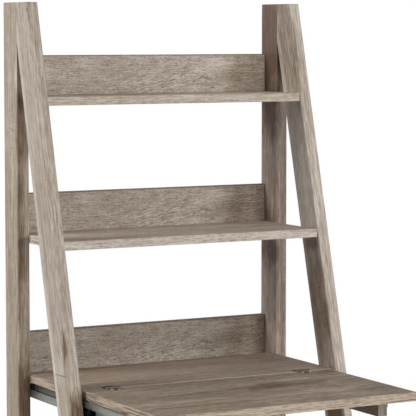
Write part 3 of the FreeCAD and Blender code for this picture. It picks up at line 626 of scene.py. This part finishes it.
# %% A fine finish
SPECK_DETAIL, SPECK_DARK, SPECK_LIGHT, GLOSS_DRIFT = 3.0, 0.35, 0.65, 0.06


def fine_finish(name, dark, light, metallic, roughness, speck_mm):
    """A finish whose tone and gloss drift a little over specks of a given size."""
    material, tree, shader = new_material(name)
    place = add_node(tree, "TexCoord")
    specks = add_node(
        tree, "TexNoise", values={"Scale": 1 / (speck_mm * MM), "Detail": SPECK_DETAIL},
        links={"Vector": place.outputs["Object"]},
    ).outputs["Fac"]
    stops = [(SPECK_DARK, dark), (SPECK_LIGHT, light)]
    colour = add_node(tree, "ValToRGB", links={"Fac": specks}, stops=stops)
    gloss = add_node(
        tree, "MapRange", values={"To Min": roughness - GLOSS_DRIFT, "To Max": roughness + GLOSS_DRIFT},
        links={"Value": specks},
    )
    tree.links.new(colour.outputs["Color"], shader.inputs["Base Color"])
    tree.links.new(gloss.outputs["Result"], shader.inputs["Roughness"])
    shader.inputs["Metallic"].default_value = metallic
    return material


def shader_of(material):
    """The Principled shader of a finished material."""
    return material.node_tree.nodes["Principled BSDF"]


# %% Metals
# zinc on cold-rolled sheet: a soft grey sheen in which nothing is mirrored clearly
slide_zinc = fine_finish("zinc-plated slide sheet", "#828480", "#959790", 1.0, 0.42, 6)
# the same plating on the track, a shade warmer; its painted shade and black front end come below
shaded_track_zinc = fine_finish("zinc-plated track with painted shade", "#84857e", "#96978f", 1.0, 0.42, 6)
# barrel-plated zinc on fasteners: small bright points that catch the lamps
bright_zinc = fine_finish("bright zinc-plated fasteners", "#b4b4ae", "#cdccc6", 1.0, 0.3, 2)
# dark nickel on stamped leaves: a warm grey mirror, toned down where it is seen at a slant
dark_nickel = fine_finish("dark nickel hinge", "#645d57", "#746d66", 1.0, 0.2, 3)
shader_of(dark_nickel).inputs["Specular Tint"].default_value = linear("#aaa49e")
print("materials with the metals:", len(bpy.data.materials))

# %% Nylon, rubber, plastic and beech
FAINT_SPECULAR = 0.08
# moulded nylon: nearly black, with a faint satin light on its edges
black_nylon = fine_finish("moulded black nylon", "#060606", "#0c0c0b", 0.0, 0.5, 2)
# moulded rubber: as black, but drier, with hardly a highlight
black_rubber = fine_finish("moulded black rubber", "#060606", "#0c0b0b", 0.0, 0.7, 2)
for finish in (black_nylon, black_rubber):
    shader_of(finish).inputs["Specular IOR Level"].default_value = FAINT_SPECULAR
# moulded plastic on the glides: dark grey with a dull sheen
dark_plastic = fine_finish("dark moulded plastic", "#2c2926", "#383431", 0.0, 0.55, 3)
# turned beech dowels: pale, warm and even
beech = fine_finish("turned beech", "#b98f63", "#cda679", 0.0, 0.6, 4)
print("all materials:", len(bpy.data.materials))

# %% [markdown]
# ## Dull knuckles
# The hinge leaves lie flush in the desk top and mirror the studio, but their rolled knuckles stand
# proud and look dull. A second material could be given to those faces; a step in height is
# simpler, because all that stands above the desk top is a knuckle, a pin or a screw head.

# %% Dull knuckles
KNUCKLE_RISE_MM, KNUCKLE_TONE, KNUCKLE_ROUGHNESS = 0.2, "#564f49", 0.55
desk_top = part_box("desk_shelf")[1].z
shader, tree = shader_of(dark_nickel), dark_nickel.node_tree
plate, gloss = (shader.inputs[name].links[0].from_socket for name in ("Base Color", "Roughness"))
place = add_node(tree, "TexCoord")
height = add_node(tree, "SeparateXYZ", links={"Vector": place.outputs["Object"]})
knuckle = add_node(
    tree, "Math", values={1: desk_top + KNUCKLE_RISE_MM * MM}, links={0: height.outputs["Z"]},
    operation="GREATER_THAN",
).outputs[0]
tone = add_node(
    tree, "MixRGB", values={"Color2": linear(KNUCKLE_TONE)}, links={"Fac": knuckle, "Color1": plate},
)
dull = add_node(tree, "Mix", values={"B": KNUCKLE_ROUGHNESS}, links={"Factor": knuckle, "A": gloss})
tree.links.new(tone.outputs["Color"], shader.inputs["Base Color"])
tree.links.new(dull.outputs["Result"], shader.inputs["Roughness"])
print("knuckles are dull above", round(desk_top / MM + KNUCKLE_RISE_MM, 1), "mm")

# %% [markdown]
# ## Painted shade on the track
# The fixed track is painted darker in its bends and in a line along it: painted shade. It is black
# at its front end, around the roller. The solid's wall is plain, so the shade follows the height,
# through a ramp that multiplies the plating, and the front end is a step along the depth. Both are
# read off the photograph.

# %% Painted shade on the track
BLACK_FRONT_END_MM, BLACK_FRONT_END_TONE = 0.0, "#0c0c0b"
# painted shade, multiplied over the plating by height: darker at the bottom and top edges, in a dark line
# along the middle and over the upper band
TRACK_PAINTED_SHADE = [
    (0.0, "#4a4a4a"), (1.0, "#161616"), (0.06, "#ffffff"), (0.52, "#f0f0f0"), (0.57, "#2a2a2a"),
    (0.62, "#a8a8a8"), (0.88, "#9a9a9a"),
]
track_low, track_high = (corner.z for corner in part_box("left_slide_channel"))
shader, tree = shader_of(shaded_track_zinc), shaded_track_zinc.node_tree
plating = shader.inputs["Base Color"].links[0].from_socket
place = add_node(tree, "TexCoord")
place = add_node(tree, "SeparateXYZ", links={"Vector": place.outputs["Object"]}).outputs
share = add_node(
    tree, "MapRange", values={"From Min": track_low, "From Max": track_high}, links={"Value": place["Z"]},
)
shade = add_node(tree, "ValToRGB", links={"Fac": share.outputs["Result"]}, stops=TRACK_PAINTED_SHADE)
# the plating with its painted shade
rolled = add_node(
    tree, "MixRGB", values={"Fac": 1.0}, links={"Color1": plating, "Color2": shade.outputs["Color"]},
    blend_type="MULTIPLY",
)
# black at the front end
front_end = add_node(
    tree, "Math", values={1: BLACK_FRONT_END_MM * MM}, links={0: place["Y"]}, operation="LESS_THAN",
)
track = add_node(
    tree, "MixRGB", values={"Color2": linear(BLACK_FRONT_END_TONE)},
    links={"Fac": front_end.outputs[0], "Color1": rolled.outputs["Color"]},
)
tree.links.new(track.outputs["Color"], shader.inputs["Base Color"])
print("track height:", round((track_high - track_low) / MM, 1), "mm")

# %% [markdown]
# Runners, tracks, cam bolts and dowels keep their CAD shapes and only need a finish. The other
# fittings are made again below.

# %% Finishes on the kept fittings
FINISHES = {
    slide_zinc: ("left_runner", "right_runner"),
    shaded_track_zinc: ("left_slide_channel", "right_slide_channel"),
    bright_zinc: ("cam_bolts",),
    beech: ("dowels",),
}
for finish, names in FINISHES.items():
    for name in names:
        dress(name, finish)
print("finished fittings:", sum(len(names) for names in FINISHES.values()))

# %% [markdown]
# ## Tools for fittings
# The frame holds screws, locks and rollers as plain prisms. Here each one is made again with the
# shape that the hand would feel: a domed head with a cross slot, a rolled hinge knuckle, a rounded
# tyre. A turned piece is half of its section, spun once around its axis. Every fitting is made at
# the origin, pointing up, and then set in place, so that one shape serves for all of its copies.

# %% Turned forms
TURNED_SIDES, MERGE_MM = 32, 0.001


def turned(section_mm, closed=False, sides=TURNED_SIDES):
    """A form spun around Z from points of radius and height."""
    form = bmesh.new()
    points = [form.verts.new((radius * MM, 0, height * MM)) for radius, height in section_mm]
    lines = [form.edges.new(ends) for ends in zip(points, points[1:])]
    if closed:
        lines.append(form.edges.new((points[-1], points[0])))
    bmesh.ops.spin(
        form, geom=points + lines, cent=(0, 0, 0), axis=Z, angle=2 * math.pi, steps=sides, use_merge=True,
    )
    bmesh.ops.remove_doubles(form, verts=form.verts, dist=MERGE_MM * MM)
    return form


# %% [markdown]
# A cross slot could be cut with a boolean, but that leaves slivers on so small a head. Here the
# head is turned with an open top, a cross of five faces is drawn in the opening and pushed down,
# and the rim of the head is bridged to the brim of the cross.

# %% Cross slots
def cut_cross_slot(form, reach_mm, width_mm, depth_mm):
    """Closes the open top of a turned head with a cross-shaped pit."""
    rim = [edge for edge in form.edges if edge.is_boundary]
    top = rim[0].verts[0].co.z
    square = bmesh.ops.create_grid(
        form, x_segments=1, y_segments=1, size=width_mm / 2 * MM, matrix=Matrix.Translation((0, 0, top)),
    )["verts"]
    middle = square[0].link_faces[0]
    cross = [middle]
    for side in list(middle.edges):
        outward = (side.verts[0].co + side.verts[1].co) / 2 - Vector((0, 0, top))
        arm = bmesh.ops.extrude_edge_only(form, edges=[side])["geom"]
        tips = [part for part in arm if isinstance(part, bmesh.types.BMVert)]
        bmesh.ops.translate(form, verts=tips, vec=outward.normalized() * (reach_mm - width_mm / 2) * MM)
        cross += [part for part in arm if isinstance(part, bmesh.types.BMFace)]
    brim = [edge for face in cross for edge in face.edges if edge.is_boundary]
    pit = bmesh.ops.extrude_face_region(form, geom=cross)["geom"]
    pit_floor = [part for part in pit if isinstance(part, bmesh.types.BMVert)]
    bmesh.ops.translate(form, verts=pit_floor, vec=(0, 0, -depth_mm * MM))
    bmesh.ops.delete(form, geom=[face for face in cross if face.is_valid], context="FACES")
    bmesh.ops.bridge_loops(form, edges=rim + brim)


# %% Setting a fitting in place
SIDES = {"left": -1, "right": 1}
SHARP_ANGLE = math.radians(35)


def middle_mm(node):
    """The middle of a CAD node's box, in millimetres."""
    low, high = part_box(node)
    return (low + high) / 2 / MM


def pointing(centre_mm, direction):
    """The place of a fitting whose own Z axis looks along a direction."""
    turn = Vector(direction).to_track_quat("Z", "Y").to_matrix().to_4x4()
    return Matrix.Translation(Vector(centre_mm) * MM) @ turn


def fit(name, form, places, material, body, replaced):
    """Copies of a form at these places, as one piece that rides on a body in place of CAD nodes."""
    pattern = bpy.data.meshes.new(name + "_pattern")
    form.to_mesh(pattern)
    form.free()
    whole = bmesh.new()
    for place in places:
        before = len(whole.verts)
        whole.from_mesh(pattern)
        whole.verts.ensure_lookup_table()
        bmesh.ops.transform(whole, matrix=place, verts=whole.verts[before:])
    bmesh.ops.recalc_face_normals(whole, faces=whole.faces)
    mesh = bpy.data.meshes.new(name)
    whole.to_mesh(mesh)
    whole.free()
    bpy.data.meshes.remove(pattern)
    mesh.polygons.foreach_set("use_smooth", [True] * len(mesh.polygons))
    mesh.set_sharp_from_angle(angle=SHARP_ANGLE)
    mesh.materials.append(material)
    piece = bpy.data.objects.new(name, mesh)
    bpy.context.scene.collection.objects.link(piece)
    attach(piece, body)
    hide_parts(*replaced)
    print(name, "x", len(places), "faces:", len(mesh.polygons))


# %% [markdown]
# ## Hinges
# Each hinge is a pair of round-nosed plates let into the tops of shelf and flap, with knuckles
# rolled around a pin. Place and size are read off the frame's own leaves and pins.

# %% Hinge sizes
leaf_low, leaf_high = (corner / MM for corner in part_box("right_hinge_shelf_leaf"))
DESK_TOP_MM = desk_top / MM
HINGE_AXIS_Y_MM = middle_mm("hinge_pins").y
HINGE_MIDDLE_MM = (leaf_low.x + leaf_high.x) / 2
HINGE_WIDTH_MM = leaf_high.x - leaf_low.x
HINGE_REACH_MM = leaf_high.y - HINGE_AXIS_Y_MM
PLATE_MM = DESK_TOP_MM - leaf_low.z
print("hinge:", [round(size, 2) for size in (HINGE_MIDDLE_MM, HINGE_WIDTH_MM, HINGE_REACH_MM, PLATE_MM)])

# %% [markdown]
# A plate starts as its straight outline, from nose to nose past the knuckles; one point is spun
# through half a turn to draw the round nose, the outline is filled, and the plate is drawn down and
# its rim broken with a bevel. The shelf's leaf carries the two end knuckles and the flap's leaf the
# one between them.

# %% Hinge plates
KNUCKLE_MM, END_KNUCKLE_MM, KNUCKLE_GAP_MM = 3.0, 9.0, 0.3
JOINT_GAP_MM, PLATE_BREAK_MM, NOSE_STEPS, NOSE_MERGE_MM = 1.0, 0.5, 32, 0.01


def knuckle_split(own_ends):
    """How far from the hinge's middle a leaf changes from its end knuckles to its middle one."""
    return HINGE_WIDTH_MM / 2 - END_KNUCKLE_MM - (0 if own_ends else KNUCKLE_GAP_MM)


def hinge_plate(side, own_ends):
    """A plate behind (side 1) or before (side -1) the axis, cut back beside the other leaf's knuckles."""
    half, split = HINGE_WIDTH_MM / 2, knuckle_split(own_ends)
    nose = HINGE_REACH_MM - half
    near, clear = JOINT_GAP_MM / 2, KNUCKLE_MM + KNUCKLE_GAP_MM
    at_ends, at_middle = (near, clear) if own_ends else (clear, near)
    outline = [
        (half, nose), (half, at_ends), (split, at_ends), (split, at_middle),
        (-split, at_middle), (-split, at_ends), (-half, at_ends), (-half, nose),
    ]
    form = bmesh.new()
    points = [form.verts.new((x * MM, side * y * MM, 0)) for x, y in outline]
    for ends in zip(points, points[1:]):
        form.edges.new(ends)
    bmesh.ops.spin(
        form, geom=[points[-1]], cent=(0, side * nose * MM, 0), axis=-side * Z, angle=math.pi,
        steps=NOSE_STEPS,
    )
    bmesh.ops.remove_doubles(form, verts=form.verts, dist=NOSE_MERGE_MM * MM)
    plate = bmesh.ops.contextual_create(form, geom=form.edges[:])["faces"]
    rim = list(plate[0].edges)
    drawn = bmesh.ops.extrude_face_region(form, geom=plate, use_keep_orig=True)["geom"]
    lower = [part for part in drawn if isinstance(part, bmesh.types.BMVert)]
    bmesh.ops.translate(form, verts=lower, vec=(0, 0, -PLATE_MM * MM))
    bmesh.ops.bevel(
        form, geom=rim, offset=PLATE_BREAK_MM * MM, offset_type="OFFSET", segments=2, profile=0.5,
        affect="EDGES", material=-1,
    )
    return form


# %% [markdown]
# A knuckle is the leaf's own metal rolled into a tube. Rolling a strip would show a seam that
# nobody sees, so a chamfered tube is turned instead, laid along the axis and joined to its plate.

# %% Hinge leaves
BORE_MM, CHAMFER_MM = 1.75, 0.4


def hinge_leaf(side, own_ends):
    """A plate with the end knuckles or the middle one."""
    form = hinge_plate(side, own_ends)
    half, split = HINGE_WIDTH_MM / 2, knuckle_split(own_ends)
    for low, high in [(-half, -split), (split, half)] if own_ends else [(-split, split)]:
        length = high - low
        tube = turned([
            (BORE_MM, 0), (KNUCKLE_MM - CHAMFER_MM, 0), (KNUCKLE_MM, CHAMFER_MM),
            (KNUCKLE_MM, length - CHAMFER_MM), (KNUCKLE_MM - CHAMFER_MM, length), (BORE_MM, length),
        ], closed=True)
        bmesh.ops.transform(tube, matrix=pointing((low, 0, 0), X), verts=tube.verts)
        rolled = bpy.data.meshes.new("knuckle")
        tube.to_mesh(rolled)
        tube.free()
        form.from_mesh(rolled)
        bpy.data.meshes.remove(rolled)
    return form


for hand, sign in SIDES.items():
    here = [Matrix.Translation(Vector((sign * HINGE_MIDDLE_MM, HINGE_AXIS_Y_MM, DESK_TOP_MM)) * MM)]
    for leaf, side, body in (("shelf", 1, "frame"), ("flap", -1, "flap")):
        fit(
            f"{hand}_hinge_{leaf}_plate", hinge_leaf(side, leaf == "shelf"), here, dark_nickel,
            body, [f"{hand}_hinge_{leaf}_leaf"],
        )

# %% [markdown]
# ## Hinge screws and pins
# Two cross-slotted screws hold each leaf. The head is a low dome, given by four points of its
# section, over a plain shank: a thread would lie hidden in the board. The flap's screws look bright
# in the photograph and the shelf's dark, so they have different finishes. The pin is a chamfered
# rod as long as the hinge is wide.

# %% Hinge screws
SCREW_HEAD_MM, SCREW_SHANK_MM, SCREW_LENGTH_MM, SCREW_POINT_MM, SEAT_MM = 3.2, 1.6, 14.0, 1.5, 0.8
SCREW_REACH_MM, SCREW_SPACING_MM, DOMED_HEAD_MM = 18.0, 17.0, 0.55


def cross_screw(rise_mm):
    """A screw that points down from the origin, with a head that rises this far above its seat."""
    form = turned([
        (2.0, rise_mm), (2.6, 0.8 * rise_mm), (SCREW_HEAD_MM - 0.1, 0.3 * rise_mm), (SCREW_HEAD_MM, 0),
        (SCREW_HEAD_MM, -SEAT_MM), (SCREW_SHANK_MM, -SEAT_MM),
        (SCREW_SHANK_MM, SCREW_POINT_MM - SCREW_LENGTH_MM), (0, -SCREW_LENGTH_MM),
    ])
    cut_cross_slot(form, reach_mm=1.6, width_mm=0.8, depth_mm=0.9)
    return form


for leaf, side, body, finish in (("shelf", 1, "frame", dark_nickel), ("flap", -1, "flap", bright_zinc)):
    row_y = HINGE_AXIS_Y_MM + side * SCREW_REACH_MM
    places = [
        pointing((sign * HINGE_MIDDLE_MM + row * SCREW_SPACING_MM / 2, row_y, DESK_TOP_MM), Z)
        for sign in SIDES.values() for row in (-1, 1)
    ]
    fit(
        f"hinge_{leaf}_cross_screws", cross_screw(DOMED_HEAD_MM), places, finish, body,
        [f"hinge_{leaf}_screws"],
    )

# %% Hinge pins
PIN_MM = 1.5
pin = turned([
    (0, 0), (PIN_MM - CHAMFER_MM, 0), (PIN_MM, CHAMFER_MM), (PIN_MM, HINGE_WIDTH_MM - CHAMFER_MM),
    (PIN_MM - CHAMFER_MM, HINGE_WIDTH_MM), (0, HINGE_WIDTH_MM),
])
places = [
    pointing((sign * HINGE_MIDDLE_MM - HINGE_WIDTH_MM / 2, HINGE_AXIS_Y_MM, DESK_TOP_MM), X)
    for sign in SIDES.values()
]
fit("hinge_axle_pins", pin, places, dark_nickel, "frame", ["hinge_pins"])

# %% [markdown]
# ## Rollers
# The track's front roller and the runner's rear roller are moulded nylon tyres that turn on
# rivets. A plain cylinder would look like a pill, so the section has rounded shoulders and dished
# sides. It is closed and spun around the axle, so that the bore stays open for the rivet.

# %% Rollers
TYRE_BORE_MM, TYRE_SIDES = 2.1, 40


def roller(radius_mm, width_mm):
    """A tyre with rounded shoulders and dished sides."""
    half = width_mm / 2
    flank = [
        (TYRE_BORE_MM, half), (TYRE_BORE_MM + 1.4, half), (TYRE_BORE_MM + 1.8, half - 0.5),
        (radius_mm - 1.6, half - 0.5), (radius_mm - 1.2, half), (radius_mm - 0.5, half - 0.2),
        (radius_mm - 0.1, half - 0.7), (radius_mm, half - 1.3),
    ]
    other_flank = [(radius, -height) for radius, height in flank]
    return turned(other_flank + flank[::-1], closed=True, sides=TYRE_SIDES)


for place in ("front", "rear"):
    for hand in SIDES:
        node = f"{hand}_{place}_roller"
        low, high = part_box(node)
        size = (high - low) / MM
        fit(
            f"{hand}_{place}_tyre", roller(size.z / 2, size.x), [pointing(middle_mm(node), X)], black_nylon,
            node, [node],
        )

# %% [markdown]
# ## Rivets and slide screws
# A rivet is turned like a screw, with a domed head and no slot. The front ones reach in from the
# track's wall; the rear ones ride on the runners and look outwards. Each lies on the middle of the
# frame's own pin and is as long as the way from its roller to its wall. The front heads look as
# black as the rollers in the photograph, so they share their finish.

# %% Front rivets
RIVET_HEAD_MM, RIVET_SHANK_MM, FRONT_RISE_MM = 4.0, 1.9, 1.6


def rivet(length_mm, rise_mm):
    """A rivet with a domed head on the origin and its shank below."""
    return turned([
        (0, rise_mm), (1.6, 0.95 * rise_mm), (3.0, 0.65 * rise_mm), (RIVET_HEAD_MM - 0.2, 0.25 * rise_mm),
        (RIVET_HEAD_MM, 0), (RIVET_SHANK_MM, 0), (RIVET_SHANK_MM, -length_mm), (0, -length_mm),
    ])


axle, seat = middle_mm("front_roller_pins"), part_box("right_front_roller")[0].x / MM
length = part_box("right_slide_channel")[1].x / MM - seat
fit(
    "front_roller_rivets", rivet(length, FRONT_RISE_MM),
    [pointing((sign * seat, *axle.yz), -sign * X) for sign in SIDES.values()],
    black_nylon, "frame", ["front_roller_pins"],
)

# %% Slide screws
FLAT_HEAD_MM, SLIDE_LINE_MM = 0.2, 708.0
SLIDE_SCREW_SEAT_MM, SLIDE_SCREW_ROW_MM = 297.5, (275.0, 25.69)
fit(
    "slide_cross_screws", cross_screw(FLAT_HEAD_MM),
    [
        pointing((sign * SLIDE_SCREW_SEAT_MM, y, SLIDE_LINE_MM), -sign * X)
        for sign in SIDES.values() for y in SLIDE_SCREW_ROW_MM
    ],
    bright_zinc, "frame", ["slide_screws"],
)

# %% Rear rivets and runner screws
REAR_RISE_MM, RUNNER_SCREW_SEAT_MM, RUNNER_SCREW_ROW_MM = 1.0, 287.0, (-15.12, -166.92)
axle, seat = middle_mm("right_rear_roller_pin"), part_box("right_rear_roller")[1].x / MM
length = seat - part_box("right_runner")[0].x / MM
for hand, sign in SIDES.items():
    fit(
        f"{hand}_rear_roller_rivet", rivet(length, REAR_RISE_MM),
        [pointing((sign * seat, *axle.yz), sign * X)],
        bright_zinc, f"{hand}_arm", [f"{hand}_rear_roller_pin"],
    )
    fit(
        f"{hand}_runner_cross_screws", cross_screw(FLAT_HEAD_MM),
        [pointing((sign * RUNNER_SCREW_SEAT_MM, y, SLIDE_LINE_MM), sign * X) for y in RUNNER_SCREW_ROW_MM],
        bright_zinc, f"{hand}_arm", [f"{hand}_runner_screws"],
    )

# %% [markdown]
# ## Rear stops
# A rubber block at the track's rear end stops the runner. A cube with all edges rounded comes
# close, and its six broad sides are inset and pressed in a little, as a moulded block shrinks.

# %% Rear stops
STOP_WIDTH_MM, STOP_ROUNDING_MM, STOP_RIM_MM, STOP_DENT_MM, STOP_SIDES = 11.0, 1.4, 1.2, 0.7, 6
stops_low, stops_high = (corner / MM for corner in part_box("slide_rear_stops"))
stop_x, stop_place = stops_high.x - STOP_WIDTH_MM / 2, middle_mm("slide_rear_stops")
stop_size = (STOP_WIDTH_MM, stops_high.y - stops_low.y, stops_high.z - stops_low.z)
block = bmesh.new()
bmesh.ops.create_cube(block, size=MM)
bmesh.ops.scale(block, vec=stop_size, verts=block.verts)
bmesh.ops.bevel(
    block, geom=block.edges[:], offset=STOP_ROUNDING_MM * MM, offset_type="OFFSET", segments=3, profile=0.5,
    affect="EDGES", material=-1,
)
broad = sorted(block.faces, key=lambda face: face.calc_area())[-STOP_SIDES:]
bmesh.ops.inset_individual(block, faces=broad, thickness=STOP_RIM_MM * MM, depth=-STOP_DENT_MM * MM)
fit(
    "slide_rubber_stops", block,
    [Matrix.Translation(Vector((sign * stop_x, *stop_place.yz)) * MM) for sign in SIDES.values()],
    black_rubber, "frame", ["slide_rear_stops"],
)

# %% [markdown]
# ## Cam locks
# The boards are drawn together by cam locks: die-cast drums with a cross slot, sunk in the
# undersides of the shelves and the backs of the rails, where a screwdriver turns them. A drum is a
# turned shape with a raised rim, and its slot is the same cut that the screw heads have, only wider.

# %% Cam locks
CAM_MM, CAM_DEPTH_MM, CAM_LINE_MM = 7.4, 13.0, 275.0
SHELF_CAMS_MM = {"top_shelf": 277.0, "middle_shelf": 277.0, "desk_shelf": 263.0}
RAIL_CAM_HEIGHT = 0.7
drum = turned([
    (5.2, -0.6), (5.8, -0.6), (6.2, 0), (CAM_MM - 0.3, 0), (CAM_MM, -0.3), (CAM_MM, -CAM_DEPTH_MM),
    (0, -CAM_DEPTH_MM),
])
cut_cross_slot(drum, reach_mm=4.4, width_mm=1.6, depth_mm=3.0)
shelf_seats = [(y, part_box(shelf)[0].z / MM) for shelf, y in SHELF_CAMS_MM.items()]
rail_boxes = [[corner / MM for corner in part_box(board)] for board in BOARDS if board.endswith("rail")]
rail_seats = [(high.y, low.z + RAIL_CAM_HEIGHT * (high.z - low.z)) for low, high in rail_boxes]
places = [
    pointing((sign * CAM_LINE_MM, y, z), facing)
    for facing, seats in ((-Z, shelf_seats), (Y, rail_seats)) for sign in SIDES.values() for y, z in seats
]
fit("cam_lock_drums", drum, places, bright_zinc, "frame", ["cam_locks"])

# %% [markdown]
# ## Foot glides
# Under each foot a plastic glide is nailed in. One turned section gives the rounded disc and its
# nail, which is hidden in the foot.

# %% Foot glides
GLIDE_MM, LEG_FOOT_MM = 10.0, -157.35
glide = turned([
    (0, 0), (GLIDE_MM - 0.8, 0), (GLIDE_MM, 0.8), (GLIDE_MM - 0.4, 2.0), (GLIDE_MM - 2.0, 4.0), (1.4, 4.0),
    (1.2, 14.0), (0, 16.0),
])
post = middle_mm("right_rear_post")
places = [
    Matrix.Translation(Vector((sign * post.x, y, 0)) * MM)
    for sign in SIDES.values() for y in (post.y, LEG_FOOT_MM)
]
fit("nailed_foot_glides", glide, places, dark_plastic, "frame", ["foot_glides"])
